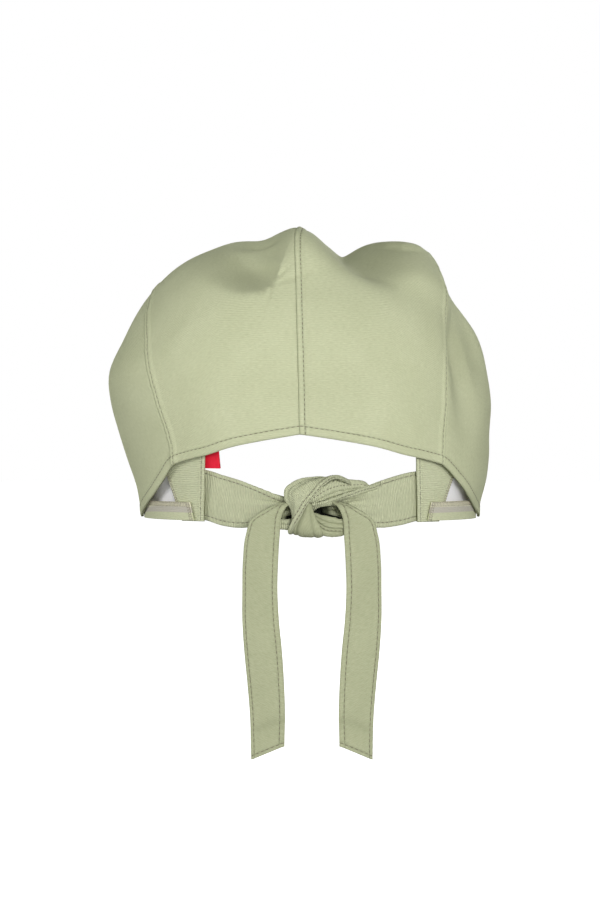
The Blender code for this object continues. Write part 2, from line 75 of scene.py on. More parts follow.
# Band ends, facings, linings and label; a reach is how far to the side a piece's end lies
TAB_HEIGHT = 36 * MM
TAB_REACH = 54.2 * MM
BAND_DROP = 1.5 * MM
FACING_DROP = 0.9 * MM
FACING_HEIGHT = 8.4 * MM
FACING_REACH = 60.5 * MM
LINING_HEIGHT = 28 * MM
LABEL_WIDTH = 13 * MM
LABEL_HEIGHT = 11 * MM
LABEL_FOOT = 24.8 * MM
LABEL_REACH = 45.6 * MM

# The reaches of their ends at the foot and at the top
HALF_RIM = RIM_WIDTH / 2
TAB_ENDS = ((TAB_REACH, TAB_REACH - MM), (0.725 * HALF_RIM, 0.87 * HALF_RIM))
FACING_ENDS = ((FACING_REACH - MM, FACING_REACH + MM), (0.985 * HALF_RIM, 0.975 * HALF_RIM))
LINING_ENDS = ((FACING_REACH + 6 * MM, FACING_REACH + 8 * MM), (0.95 * HALF_RIM, 0.91 * HALF_RIM))
LABEL_ENDS = ((LABEL_REACH, LABEL_REACH + MM), (LABEL_REACH + LABEL_WIDTH, LABEL_REACH + LABEL_WIDTH))

# Ties
STRAP_WIDTH = 24 * MM
STRAP_TUCK = 6 * MM
TAIL_SPREAD = 34 * MM
TAIL_DROP = 120 * MM
TAIL_OFFSET = 0.5 * MM
TAIL_BEND = 13 * MM
KNOT_HEIGHT = 31 * MM
KNOT_DEPTH = 20 * MM

# Sewing: how far in from its edge each row of stitches lies, then the stitches themselves
HEM = 4.0 * MM
HEM_PLY = 0.45 * MM
SEAM_STITCH = 2.3 * MM
SIDE_STITCH = 2.0 * MM
TAB_STITCH = 1.7 * MM
STRAP_OUTER_STITCH = 1.6 * MM
STRAP_INNER_STITCH = 2.2 * MM
TAIL_OUTER_STITCH = 1.3 * MM
TAIL_INNER_STITCH = 2.4 * MM
TAIL_END_STITCH = 1.8 * MM
STITCH_PITCH = 2.7 * MM
STITCH_LENGTH = 1.9 * MM
SEAM_PITCH = 2.4 * MM
SEAM_LENGTH = 1.6 * MM
KNOT_PITCH = 2.0 * MM
KNOT_LENGTH = 1.4 * MM
THREAD = 0.42 * MM
THREAD_LIFT = 0.05 * MM
FINE_STEP = 0.3 * MM

# The rows of an overlocked edge in mm: how far in, pitch, length, thread and lift, and whether the
# stitches cross the edge
SERGING = (
    (1.0, 1.25, 2.2, 0.42, 0.05, True),
    (2.1, 1.5, 1.1, 0.42, 0.12, False),
    (0.3, 1.5, 1.2, 0.5, 0.12, False),
)

# Uneven cloth: the lengths of the waves along a seam, and how many waves a soft surface has
RIPPLES = (4.3 * MM, 6.1 * MM, 9.7 * MM, 15.0 * MM)
UNDULATIONS = 9

# Weave: the pitch of ribs and threads in mm, and the height at which the back's ribs lie level, which
# is looked for in the first rows of the grid
RIB = 0.95
WARP = 0.62
WEAVE_LEVEL = 60 * MM
BACK_ROWS = 60


class Grid(NamedTuple):
    """Faces along and across a piece, and how much its lines crowd towards the ends and the edges."""

    along: int
    across: int
    crowd: tuple = (0, 0)


GRIDS = {
    "crown": Grid(300, 110, (0.7, 0.75)),
    "side": Grid(160, 70, (0.6, 0.7)),
    "tab": Grid(44, 60, (0.6, 0)),
    "facing": Grid(60, 20),
    "lining": Grid(30, 24),
    "label": Grid(30, 26),
    "strap": Grid(96, 44, (0, 0.5)),
    "tail": Grid(190, 40, (0, 0.5)),
    "wrap": Grid(72, 48, (0, 0.5)),
}


def add_object(name, data):
    """A new object in the scene."""
    added = bpy.data.objects.new(name, data)
    bpy.context.scene.collection.objects.link(added)
    return added


def camera():
    """The photograph's view: level, straight from behind the head."""
    lens = bpy.data.cameras.new("camera")
    lens.sensor_width = 36
    lens.lens = LENS
    lens.clip_end = 50
    seen = add_object("camera", lens)
    seen.location = CAMERA_PLACE
    seen.rotation_euler = (math.pi / 2, 0, 0)
    bpy.context.scene.camera = seen


class Hoop(NamedTuple):
    """A level ring of the crown: heights and reaches as shares, seam and rim as weights."""

    level: float
    height: float
    left: float
    right: float
    back: float
    front: float
    seam: float
    rim: float


HOOPS = (
    Hoop(0.00, 0.000, 0.90, 0.90, 0.95, 0.95, 0.00, 1.00),
    Hoop(0.07, 0.097, 0.90, 0.97, 0.97, 0.95, 0.20, 0.55),
    Hoop(0.14, 0.194, 0.93, 0.995, 0.98, 0.97, 0.50, 0.25),
    Hoop(0.21, 0.291, 0.953, 1.00, 0.985, 0.975, 0.75, 0.08),
    Hoop(0.275, 0.389, 0.988, 1.00, 0.99, 0.985, 0.80, 0.00),
    Hoop(0.34, 0.486, 0.995, 0.985, 1.00, 1.00, 0.85, 0.00),
    Hoop(0.43, 0.615, 0.908, 0.940, 0.975, 0.985, 0.93, 0.00),
    Hoop(0.53, 0.745, 0.784, 0.826, 0.90, 0.90, 1.00, 0.00),
    Hoop(0.63, 0.842, 0.646, 0.758, 0.78, 0.76, 1.05, 0.00),
    Hoop(0.74, 0.920, 0.438, 0.680, 0.58, 0.56, 1.05, 0.00),
    Hoop(0.87, 0.972, 0.205, 0.40, 0.33, 0.31, 0.95, 0.00),
    Hoop(1.00, 1.000, 0.00, 0.00, 0.00, 0.00, 0.92, 0.00),
)
SQUARENESS = 2.12

# The hem of the back arch: turn from the nape in degrees, height as a share of ARCH_HEIGHT
ARCH = (
    (0, 1.00),
    (12, 0.925),
    (22, 0.85),
    (30, 0.765),
    (38, 0.705),
    (45, 0.635),
    (52, 0.46),
    (60, 0.285),
    (68, 0.155),
    (77, 0.05),
    (84, 0.00),
)
ARCH_END = ARCH[-1][0]

# The side seams from back to front: how far along, then turn in degrees and height as a share of
# CROWN_HEIGHT for the left seam, and both for the right one
SIDE_SEAM = (
    (0.12, 44, 0.30, 46, 0.32),
    (0.20, 47, 0.46, 47.5, 0.46),
    (0.28, 53.5, 0.58, 52, 0.60),
    (0.36, 62, 0.67, 60, 0.74),
    (0.43, 74, 0.75, 72, 0.86),
    (0.50, 90, 0.785, 90, 0.91),
    (0.57, 106, 0.75, 108, 0.86),
    (0.66, 117, 0.67, 119, 0.74),
    (0.77, 127, 0.55, 127, 0.57),
    (0.88, 132, 0.39, 132, 0.39),
)
SEAM_FOOT_BACK = 45
SEAM_FOOT_FRONT = 135
SIDE_FRONT_TURN = 112


class Dent(NamedTuple):
    """A hollow in the worn crown. Places are shares of half width, half depth and height.

    Its reaches are shares of half CROWN_WIDTH, lean is in degrees, depth is a share of FOLD_DEPTH,
    edge is how steeply it begins, and ahead is how steeply it ends towards the forehead.
    """

    x: float
    y: float
    z: float
    left: float
    right: float
    back: float
    front: float
    down: float
    up: float
    lean: float
    depth: float
    edge: float
    ahead: float


DENTS = {
    "seam_ridge": Dent(-0.03, -0.15, 0.97, 0.08, 0.07, 0.60, 0.50, 0.5, 0.5, 0, -0.20, 2.4, 4.0),
    "right_valley": Dent(0.20, -0.05, 0.93, 0.19, 0.155, 0.56, 0.60, 0.6, 0.6, 0, 1.38, 1.4, 4.0),
    "right_hollow": Dent(0.27, -0.50, 0.865, 0.15, 0.17, 0.44, 0.50, 0.085, 0.26, -34, 0.9, 1.9, 1.8),
    "right_crease": Dent(0.76, -0.46, 0.58, 0.07, 0.07, 0.30, 0.22, 0.34, 0.30, 4, 0.70, 2.0, 4.0),
}
DENT_BACK = 4
INSIDE = np.array([0, 0, 0.35 * CROWN_HEIGHT])

# Fold lines as they are seen from behind: x and z in mm, then the depth to which the cloth above turns
# away, the width over which it does, in mm, and the softness, which is 1 for a sharp turn
CREASES = {
    "left_pocket": (
        (-68, 126, 0, 16, 2.0),
        (-57, 120, 10, 15, 2.0),
        (-46, 115, 22, 14, 1.9),
        (-37, 113, 28, 12, 1.7),
        (-29, 113.5, 29, 10, 1.4),
        (-21.5, 116, 29, 9, 1.2),
        (-17.5, 120, 29, 9, 1.15),
        (-14.5, 129, 24, 9, 1.15),
        (-10.5, 141, 15, 9, 1.2),
        (-8.5, 150, 6, 9, 1.3),
    ),
    "right_side": (
        (69, 124, 0, 5, 1.3),
        (72, 115, 9, 5, 1.3),
        (77, 96, 12, 5, 1.3),
        (82, 77, 12, 5, 1.3),
        (84, 68, 8, 6, 1.3),
        (85, 58, 0, 6, 1.6),
    ),
}
RIM_LINE = (
    (20, 136.5, 0, 1.2, 1.6),
    (26, 138.0, 2.4, 1.0, 1.6),
    (34, 138.6, 3.0, 1.0, 1.6),
    (45, 138.4, 3.0, 1.0, 1.6),
    (54, 138.0, 2.4, 1.0, 1.6),
    (60, 137.0, 0, 1.2, 1.6),
)
CREASE_REACH = 34 * MM
CREASE_BLEND = 2.0
CREASE_FRONT = 40 * MM


class Push(NamedTuple):
    """Cloth that stands out or lies in: its middle, its reaches and how far it moves, in mm."""

    middle: tuple
    reach: tuple
    move: tuple


PUSHES = {
    "left_valley": Push((-25, -8, 150), (10, 45, 16), (0, 0, -3.6)),
    "left_plateau": Push((-42, -5, 144), (18, 45, 16), (0, 0, -0.9)),
    "left_contour": Push((-27, -49, 145), (9, 11, 6), (0, 0, -4.5)),
    "right_top": Push((30, -5, 140), (17, 40, 16), (0, 0, 3.4)),
    "right_lobe": Push((56, -50, 126), (16, 30, 14), (0, -7, 0)),
    "right_shoulder": Push((66, -46, 117), (18, 16, 17), (4.2, 0, 0)),
    "right_edge": Push((60, -26, 131), (18, 12, 12), (2, 0, 0)),
    "right_side_hollow": Push((81, -38, 84), (8, 16, 26), (0, 5, 0)),
    "peak_tip": Push((-1, -20, 155), (6, 40, 7), (0, 0, -2.9)),
    "right_tuck": Push((80, 4, 128), (25, 24, 16), (-8.5, 0, 0)),
}
PEAK_FOOT = 115 * MM
PEAK_RISE = 35 * MM
PEAK_DEPTH = 30 * MM
PEAK_MIDDLE = -1 * MM
PEAK_HALF = 15 * MM


class StrapStep(NamedTuple):
    """A tie strap from the band end to the knot: heights as shares of STRAP_WIDTH."""

    along: float
    top: float
    bottom: float
    bow: float


STRAP = (
    StrapStep(0.00, 0.98, -0.03, 0.00),
    StrapStep(0.17, 0.93, -0.11, 0.05),
    StrapStep(0.35, 0.81, -0.155, 0.10),
    StrapStep(0.52, 0.665, -0.10, 0.12),
    StrapStep(0.67, 0.535, 0.03, 0.10),
    StrapStep(0.82, 0.44, 0.14, 0.00),
    StrapStep(0.89, 0.40, 0.18, -0.05),
)

# The folds of a strap at the knot: places across from 0 to 1, and painted shades
STRAP_FOLDS = ((0.30, 0.6), (0.52, 0.35), (0.70, 0.5))


class TailStep(NamedTuple):
    """A hanging end: sideways places as shares of TAIL_SPREAD, drops as shares of TAIL_DROP.

    Lifts are heights over the rim as shares of KNOT_HEIGHT, and out is a share of KNOT_DEPTH.
    """

    outer: float
    inner: float
    outer_lift: float
    inner_lift: float
    outer_drop: float
    inner_drop: float
    out: float


TAIL = (
    TailStep(0.25, 0.14, 0.31, 0.27, 0.00, 0.00, 0.00),
    TailStep(0.48, 0.30, 0.27, 0.28, 0.00, 0.00, 0.15),
    TailStep(0.70, 0.40, 0.16, 0.19, 0.00, 0.00, 0.27),
    TailStep(0.87, 0.455, 0.04, 0.05, 0.00, 0.00, 0.25),
    TailStep(0.955, 0.475, 0.00, 0.00, 0.055, 0.050, 0.20),
    TailStep(1.00, 0.50, 0.00, 0.00, 0.165, 0.165, 0.15),
    TailStep(1.01, 0.51, 0.00, 0.00, 0.29, 0.29, 0.13),
    TailStep(1.01, 0.49, 0.00, 0.00, 0.41, 0.41, 0.14),
    TailStep(0.98, 0.445, 0.00, 0.00, 0.54, 0.54, 0.17),
    TailStep(0.935, 0.415, 0.00, 0.00, 0.67, 0.67, 0.16),
    TailStep(0.895, 0.40, 0.00, 0.00, 0.81, 0.80, 0.12),
    TailStep(0.88, 0.41, 0.00, 0.00, 0.99, 0.935, 0.10),
)

# Stations of each wrap in the knot, in mm: x, z and how far out from the nape for one edge, then the
# same for the other
KNOT_WRAPS = {
    "main_wrap": (
        (20.3, 17.8, -7, 19.5, 17.4, -6),
        (17.4, 20.1, -3, 16.4, 19.7, 0),
        (11.6, 21.3, 0, 11.2, 19.9, 4),
        (4.6, 21.4, 1, 7.3, 17.8, 7.5),
        (-2.3, 21.0, 1.5, 4.4, 15.1, 8.5),
        (-8.9, 18.8, 1.5, 2.2, 12.5, 9),
        (-12.8, 14.9, 2, 0.1, 10.0, 9.5),
        (-12.6, 10.2, 3, -1.7, 7.7, 9.5),
        (-9.8, 6.5, 5, -3.4, 4.9, 9.3),
        (-9.3, 2.4, 6, -5.4, 1.6, 8.6),
        (-10.0, -1.3, 5, -7.4, -2.1, 7.2),
        (-10.9, -3.6, 3, -8.7, -4.9, 5),
        (-11.1, -4.0, -2, -8.7, -5.4, 0),
        (-10.6, -3.8, -5, -8.3, -5.0, -5),
    ),
    "second_layer": (
        (29.4, 16.4, -13, 29.4, 14.5, -13),
        (26.9, 18.9, -10, 26.9, 14.3, -10),
        (21.9, 19.9, -7, 21.9, 13.5, -7),
        (17.0, 20.2, -4.5, 16.6, 12.1, -4),
        (12.1, 20.5, -1.5, 11.2, 10.2, -0.5),
        (7.1, 18.8, 1, 6.3, 8.8, 2),
        (2.6, 15.6, 2.5, 2.2, 7.5, 3),
        (-1.1, 9.8, 1, -0.7, 6.9, 2),
    ),
    "strap_edge": (
        (34.3, 18.9, -15, 34.7, 12.7, -17),
        (28.9, 17.4, -10.4, 28.9, 12.1, -13),
        (22.4, 15.5, -5.6, 22.8, 11.2, -8),
        (16.6, 13.7, -2, 17.0, 10.6, -5),
        (11.2, 11.9, 1.5, 11.6, 9.6, -1),
        (6.3, 10.3, 4, 6.5, 8.8, 2.5),
        (0.5, 8.8, 3, 0.5, 7.5, 2),
    ),
    "loop_edge": (
        (17.4, 8.8, 0, 17.6, 6.7, -1),
        (12.9, 9.6, 1.4, 13.1, 8.1, 0.5),
        (8.4, 9.5, 2.6, 8.4, 8.1, 1.6),
        (4.2, 8.8, 3, 4.2, 7.4, 2),
        (1.4, 7.5, 2, 1.8, 6.0, 0),
        (-0.1, 6.3, 0, 0.3, 4.6, -3),
    ),
    "lower_lobe": (
        (-0.7, 4.4, 1.5, -1.1, 2.0, 1),
        (3.4, 3.1, 3, 1.8, -3.2, 2),
        (7.9, 2.0, 4.2, 5.3, -6.5, 2),
        (12.1, 1.2, 4, 9.6, -7.7, 1.5),
        (15.4, 0.4, 3, 14.1, -7.5, 1),
        (18.6, -0.7, 0, 18.6, -5.9, -1),
    ),
    "middle_lobe": (
        (-2.3, 8.8, 5, 0.1, 8.1, 5),
        (-4.4, 5.1, 6, 1.0, 4.0, 5.5),
        (-6.7, 1.1, 6.3, 2.8, -0.1, 6),
        (-8.3, -2.1, 5.8, 4.6, -3.6, 5.4),
        (-9.0, -4.4, 4.2, 5.7, -5.8, 4),
        (-8.7, -5.8, 1.5, 5.9, -7.0, 1),
        (-8.3, -5.6, -4, 5.7, -6.9, -4),
    ),
    "left_return": (
        (-17.2, 1.1, -2, -17.2, -4.0, -2),
        (-13.9, 0.3, 0.5, -13.9, -4.1, 0),
        (-10.2, 0.7, 1.0, -10.2, -4.4, 0.5),
        (-6.9, 1.6, -1, -6.9, -4.2, -1),
    ),
    # The sheet behind the knot's holes, painted in deep shade
    "core": (
        (-16.8, 7.7, -9, -16.3, -0.5, -8),
        (-10.6, 9.8, -9, -10.6, -3.4, -8),
        (-1.1, 13.9, -9, -1.1, -5.0, -8),
        (8.8, 13.9, -9, 8.8, -5.9, -8),
        (19.5, 13.9, -10, 19.5, -4.6, -9),
    ),
    "head_side": (
        (-12.2, 9.0, -7, -12.2, -2.1, -7),
        (-10.2, 12.7, -11, -10.2, -5.0, -11),
        (-5.6, 16.4, -13, -5.6, -6.3, -13),
        (1.4, 18.8, -14, 1.4, -6.9, -14),
        (9.6, 19.3, -14, 9.6, -7.5, -14),
        (15.4, 18.0, -13, 15.4, -6.3, -13),
        (18.2, 15.6, -11, 18.2, -4.2, -11),
        (19.5, 13.1, -8, 19.5, -0.9, -8),
    ),
    "right_flank": (
        (18.6, 8.6, 1, 17.4, 8.6, -11),
        (19.5, 4.9, 1, 18.9, 4.9, -13),
        (19.5, 0.7, 0, 19.1, 0.7, -13),
        (18.9, -3.0, -1, 17.8, -3.0, -12),
        (17.0, -5.9, -3, 15.4, -5.9, -11),
    ),
    "left_flank": (
        (-13.4, 6.9, -2, -11.8, 6.9, -10),
        (-13.9, 3.2, -3, -12.4, 3.2, -11),
        (-13.7, -0.5, -2, -12.2, -0.5, -11),
        (-11.8, -3.6, -2, -10.6, -3.6, -10),
    ),
}


def unit(vectors):
    """Vectors of the same directions, each 1 long."""
    return vectors / np.maximum(np.linalg.norm(vectors, axis=-1, keepdims=True), 1e-12)


def curve_through(places, values, where):
    """A smooth curve through a table's rows, whose slope at a row is that between its neighbours."""
    places = np.asarray(places, float)
    values = np.asarray(values, float)
    slopes = np.gradient(values, places, axis=0)
    where = np.clip(np.asarray(where, float), places[0], places[-1])
    row = np.clip(np.searchsorted(places, where, side="right") - 1, 0, len(places) - 2)
    span = places[row + 1] - places[row]
    part = (where - places[row]) / span
    if values.ndim > 1:
        span = span[..., None]
        part = part[..., None]
    start = (1 + 2 * part) * (1 - part) ** 2 * values[row]
    end = part**2 * (3 - 2 * part) * values[row + 1]
    leave = part * (1 - part) ** 2 * span * slopes[row]
    arrive = part**2 * (part - 1) * span * slopes[row + 1]
    return start + end + leave + arrive


def hoop_columns():
    """The hoops, and one more past the top, where the crown comes down again on the far side."""
    rows = [list(hoop) for hoop in HOOPS]
    last = HOOPS[-2]
    reaches = [-last.left, -last.right, -last.back, -last.front]
    rows.append([2 - last.level, last.height] + reaches + [last.seam, last.rim])
    rows = np.array(rows)
    return rows[:, 0], rows[:, 1:]


HOOP_LEVELS, HOOP_SHARES = hoop_columns()
LEVELS = np.linspace(0, 1, 401)
LEVEL_HEIGHTS = curve_through(HOOP_LEVELS, HOOP_SHARES[:, 0], LEVELS) * CROWN_HEIGHT


def crown_surface(turn, level):
    """The middle of the cloth, before it dents: turn is radians from the nape, positive to +X."""
    share = curve_through(HOOP_LEVELS, HOOP_SHARES, level)
    height, left, right, back, front, seam, rim = np.moveaxis(share, -1, 0)
    across = np.where(np.sin(turn) < 0, left, right) * CROWN_WIDTH / 2
    ahead = np.where(np.cos(turn) > 0, back, front) * CROWN_DEPTH / 2
    across = (1 - rim) * across + rim * RIM_WIDTH / 2
    ahead = (1 - rim) * ahead + rim * RIM_DEPTH / 2
    corner = np.abs(np.sin(turn)) ** SQUARENESS + np.abs(np.cos(turn)) ** SQUARENESS
    corner = corner ** (-1 / SQUARENESS)
    x = across * corner * np.sin(turn) - seam * SEAM_OFFSET
    y = -ahead * corner * np.cos(turn)
    return np.stack([x, y, height * CROWN_HEIGHT], axis=-1)


def dented(points):
    """Draws the cloth towards the inside of the crown at each dent."""
    half = CROWN_WIDTH / 2
    scale = np.array([half, CROWN_DEPTH / 2, CROWN_HEIGHT])
    inward = unit(INSIDE - points)
    sink = np.zeros(points.shape[:-1])
    for dent in DENTS.values():
        apart = points - np.array([dent.x, dent.y, dent.z]) * scale
        lean = math.radians(dent.lean)
        along = apart[..., 0] * math.cos(lean) + apart[..., 2] * math.sin(lean)
        above = apart[..., 2] * math.cos(lean) - apart[..., 0] * math.sin(lean)
        reach_x = np.where(along < 0, dent.left, dent.right) * half
        reach_y = np.where(apart[..., 1] < 0, dent.back, dent.front) * half
        reach_z = np.where(above < 0, dent.down, dent.up) * half
        far = np.hypot(along / reach_x, above / reach_z) ** dent.edge
        far += np.abs(apart[..., 1] / reach_y) ** np.where(apart[..., 1] < 0, DENT_BACK, dent.ahead)
        sink += dent.depth * FOLD_DEPTH * np.exp(-far)
    return points + inward * sink[..., None]


def pushed(points):
    """The sharp peak at the seam, the pushes and the creases, which all lie on the back of the crown."""
    moved = points.copy()
    x, y, z = np.moveaxis(points, -1, 0)
    behind = eased_in(-y / CREASE_FRONT)
    steep = np.clip((z - PEAK_FOOT) / PEAK_RISE, 0, 1) ** 2
    moved[..., 1] -= PEAK_DEPTH * steep * behind * np.exp(-(np.abs((x - PEAK_MIDDLE) / PEAK_HALF) ** 3))
    for push in PUSHES.values():
        far = np.sum(((points / MM - push.middle) / push.reach) ** 2, axis=-1)
        moved += np.array(push.move) * MM * np.exp(-far)[..., None]
    for axis, steps in [(1, crease) for crease in CREASES.values()] + [(2, RIM_LINE)]:
        above, depth, width, softness = above_line(np.stack([x, z], axis=-1) / MM, np.array(steps))
        turned = 1 - np.exp(-((above / width) ** softness))
        moved[..., axis] += depth * MM * turned * behind * np.exp(-((above * MM / CREASE_REACH) ** 4))
    return moved


def above_line(seen, steps):
    """How far above a line of steps each seen place lies, and the steps' other columns there."""
    found = []
    for first, last in zip(steps[:-1], steps[1:]):
        line = last[:2] - first[:2]
        part = np.clip((seen - first[:2]) @ line / (line @ line), 0, 1)
        apart = seen - first[:2] - part[..., None] * line
        far = np.linalg.norm(apart, axis=-1)
        above = np.where(line[0] * apart[..., 1] > line[1] * apart[..., 0], far, 0)
        traits = first[2:] + (last[2:] - first[2:]) * part[..., None]
        found.append(np.concatenate([far[..., None], above[..., None], traits], axis=-1))
    found = np.array(found)
    near = np.exp((found[..., :1].min(axis=0) - found[..., :1]) / CREASE_BLEND)
    return np.moveaxis((found[..., 1:] * near).sum(axis=0) / near.sum(axis=0), -1, 0)


def eased_in(value):
    """From 0 to 1 with no corner at either end."""
    value = np.clip(value, 0, 1)
    return value * value * (3 - 2 * value)


def level_at(height):
    """The crown level that lies at this height."""
    return np.interp(height, LEVEL_HEIGHTS, LEVELS)


def edge_height(turn):
    """The crown's lower edge: the arch over the nape, level at the ears, rising to the forehead."""
    degrees = np.abs(np.degrees(turn))
    arch = ARCH_HEIGHT * curve_through(*np.transpose(ARCH), degrees)
    ahead = np.clip((degrees - ARCH_END) / (180 - ARCH_END), 0, 1)
    return arch * (degrees < ARCH_END) + FRONT_RISE * (1 - np.cos(math.pi * ahead)) / 2


def on_disc(turn, level):
    """The crown laid flat as a disc: its top at the middle, its rim a circle of radius 1."""
    return np.stack([(1 - level) * np.sin(turn), -(1 - level) * np.cos(turn)], axis=-1)


def from_disc(place):
    """The crown's surface at a place of the disc."""
    level = 1 - np.hypot(place[..., 0], place[..., 1])
    return pushed(dented(crown_surface(np.arctan2(place[..., 0], -place[..., 1]), level)))


def edge_on_disc(side, first, last, part):
    """The lower edge between two turns, in degrees, as places of the disc."""
    turn = side * np.radians(first + (last - first) * part)
    return on_disc(turn, level_at(edge_height(turn)))


def side_seam_on_disc(side, part):
    """The seam between crown and side panel, from the arch to the forehead's edge."""
    rows = []
    for along, *places in SIDE_SEAM:
        turn, height = places[:2] if side < 0 else places[2:]
        rows.append([along, math.radians(turn), float(level_at(height * CROWN_HEIGHT))])
    for along, turn in ((0, math.radians(SEAM_FOOT_BACK)), (1, math.radians(SEAM_FOOT_FRONT))):
        rows.append([along, turn, float(level_at(edge_height(turn)))])
    rows = np.array(sorted(rows))
    along = curve_through(rows[:, 0], rows[:, 1:], part)
    return on_disc(side * along[..., 0], along[..., 1])


def centre_seam_on_disc(part):
    """The seam over the top, from the arch to the middle of the forehead."""
    back = float(level_at(edge_height(0.0)))
    front = float(level_at(edge_height(math.pi)))
    ahead = (back - 1) + part * (2 - back - front)
    return np.stack([np.zeros_like(ahead), ahead], axis=-1)


def patch(inner, outer, back, front):
    """The crown's cloth between four edges of the disc: inner and outer run along it."""

    def place(along, across):
        a = along[..., None]
        c = across[..., None]
        corners = (1 - a) * (1 - c) * inner(0 * along) + (1 - a) * c * outer(0 * along)
        corners += a * (1 - c) * inner(0 * along + 1) + a * c * outer(0 * along + 1)
        ruled = (1 - c) * inner(along) + c * outer(along) + (1 - a) * back(across) + a * front(across)
        return from_disc(ruled - corners)

    return place


def crown_panel(side):
    return patch(
        centre_seam_on_disc,
        lambda part: side_seam_on_disc(side, part),
        lambda part: edge_on_disc(side, 0, SEAM_FOOT_BACK, part),
        lambda part: edge_on_disc(side, 180, SEAM_FOOT_FRONT, part),
    )


def side_panel(side):
    return patch(
        lambda part: side_seam_on_disc(side, part),
        lambda part: edge_on_disc(side, ARCH_END, SIDE_FRONT_TURN, part),
        lambda part: edge_on_disc(side, SEAM_FOOT_BACK, ARCH_END, part),
        lambda part: edge_on_disc(side, SEAM_FOOT_FRONT, SIDE_FRONT_TURN, part),
    )


def inside_crown(turn, height, inset):
    """A place inside the crown's wall: turn in degrees, signed, and how far in from the wall's middle."""
    turn = np.radians(turn)
    level = level_at(height)
    here = crown_surface(turn, level)
    here[..., 2] += np.minimum(height, 0)
    step = 0.01
    around = crown_surface(turn + step, level) - crown_surface(turn - step, level)
    upward = crown_surface(turn, level + step) - crown_surface(turn, np.maximum(level - step, 0))
    normal = unit(np.cross(around, upward))
    outward = np.sum(normal * here, axis=-1, keepdims=True) > 0
    return here - np.where(outward, normal, -normal) * inset


def inset_of(*plies):
    """How far in from the middle of the crown's wall the middle of the last of these plies lies."""
    return CLOTH / 2 + sum(plies[:-1]) + plies[-1] / 2 + PLY_GAP * len(plies)


def turns_at(side, reach, height, inset):
    """The turns, in degrees, at which the inside of the wall lies this far to the side."""
    reach, height = np.broadcast_arrays(reach, np.round(height, 9))
    turns = np.linspace(0, 88, 89)
    found = np.empty(reach.shape)
    for level in np.unique(height):
        reaches = side * inside_crown(side * turns, np.full_like(turns, level), inset)[:, 0]
        found[height == level] = np.interp(reach[height == level], reaches, turns)
    return side * found


def inside_at(side, reach, height, inset):
    """The place inside the crown's wall with this height and this reach to the side."""
    return inside_crown(turns_at(side, reach, height, inset), height, inset)


def corner_piece(side, near, far, heights, inset):
    """A ply at a lower corner: near and far hold its reach at the foot and at the top of each end."""

    def place(along, across):
        first = near[0] + (near[1] - near[0]) * across
        last = far[0] + (far[1] - far[0]) * across
        foot, top = heights
        return inside_at(side, first + (last - first) * along, foot + (top - foot) * across, inset)

    return place


def nape():
    """Where the ties meet: how far back the middle of the knot lies."""
    return RIM_DEPTH / 2 + CLOTH + TIE_CLOTH


def strap(side):
    """From under the band end to the knot, narrowing as it is drawn in."""
    inset = inset_of(LINING_CLOTH, CLOTH, TIE_CLOTH) + PLY_GAP
    start = STRAP[0]
    rows = []
    for tuck in (STRAP_TUCK, 0):
        top = inside_at(side, TAB_REACH + tuck, start.top * STRAP_WIDTH, inset)
        bottom = inside_at(side, TAB_REACH + tuck, start.bottom * STRAP_WIDTH, inset)
        rows.append([-tuck / TAB_REACH, *top, *bottom])
    anchor = (np.array(rows[-1][1:4]) + np.array(rows[-1][4:7])) / 2
    for step in STRAP[1:]:
        x = anchor[0] * (1 - step.along)
        y = anchor[1] * (1 - step.along) - nape() * step.along - step.bow * STRAP_WIDTH
        rows.append([step.along, x, y, step.top * STRAP_WIDTH, x, y, step.bottom * STRAP_WIDTH])
    return between_edges(np.array(rows))


def path_lengths(points):
    """How far along a line each of its points lies."""
    return np.concatenate([[0], np.cumsum(np.linalg.norm(np.diff(points, axis=0), axis=1))])


def by_length(edges):
    """Rows with a point of each edge of a tie, led by how far along it they lie, from 0 to 1."""
    far = path_lengths((edges[:, :3] + edges[:, 3:]) / 2)
    return np.column_stack([far / far[-1], edges])


def between_edges(rows):
    """A tie as a surface between its edges: each row holds how far along it is and a point of each."""
    first, last = rows[0, 0], rows[-1, 0]

    def place(along, across):
        both = curve_through(rows[:, 0], rows[:, 1:], first + (last - first) * along)
        return both[..., 3:] * (1 - across[..., None]) + both[..., :3] * across[..., None]

    return place


def tail(side):
    """From the knot over the strap's lower edge, then straight down."""
    rows = []
    for step in TAIL:
        out = -nape() - step.out * KNOT_DEPTH
        outer_z = step.outer_lift * KNOT_HEIGHT - step.outer_drop * TAIL_DROP
        inner_z = step.inner_lift * KNOT_HEIGHT - step.inner_drop * TAIL_DROP
        outer_x = side * step.outer * TAIL_SPREAD + TAIL_OFFSET
        inner_x = side * step.inner * TAIL_SPREAD + TAIL_OFFSET
        rows.append([outer_x, out, outer_z, inner_x, out, inner_z])
    return between_edges(by_length(np.array(rows)))


class Ply(NamedTuple):
    """A laid cloth piece: its points, their outward normals and how far each is from the edges."""

    piece: object
    thickness: float
    points: np.ndarray
    normals: np.ndarray
    back: np.ndarray
    front: np.ndarray
    inner: np.ndarray
    outer: np.ndarray

    @property
    def width(self):
        return self.inner + self.outer

    @property
    def across(self):
        """How far each point is from the inner edge to the outer one, from 0 to 1."""
        return self.inner / self.width


def ripple(where, seed):
    """Small uneven waves along a seam, from -1 to 1."""
    turns = np.random.default_rng(seed).uniform(0, 2 * math.pi, len(RIPPLES))
    waves = (np.sin(2 * math.pi * where / wave + turn) for wave, turn in zip(RIPPLES, turns))
    return sum(waves) / len(RIPPLES)


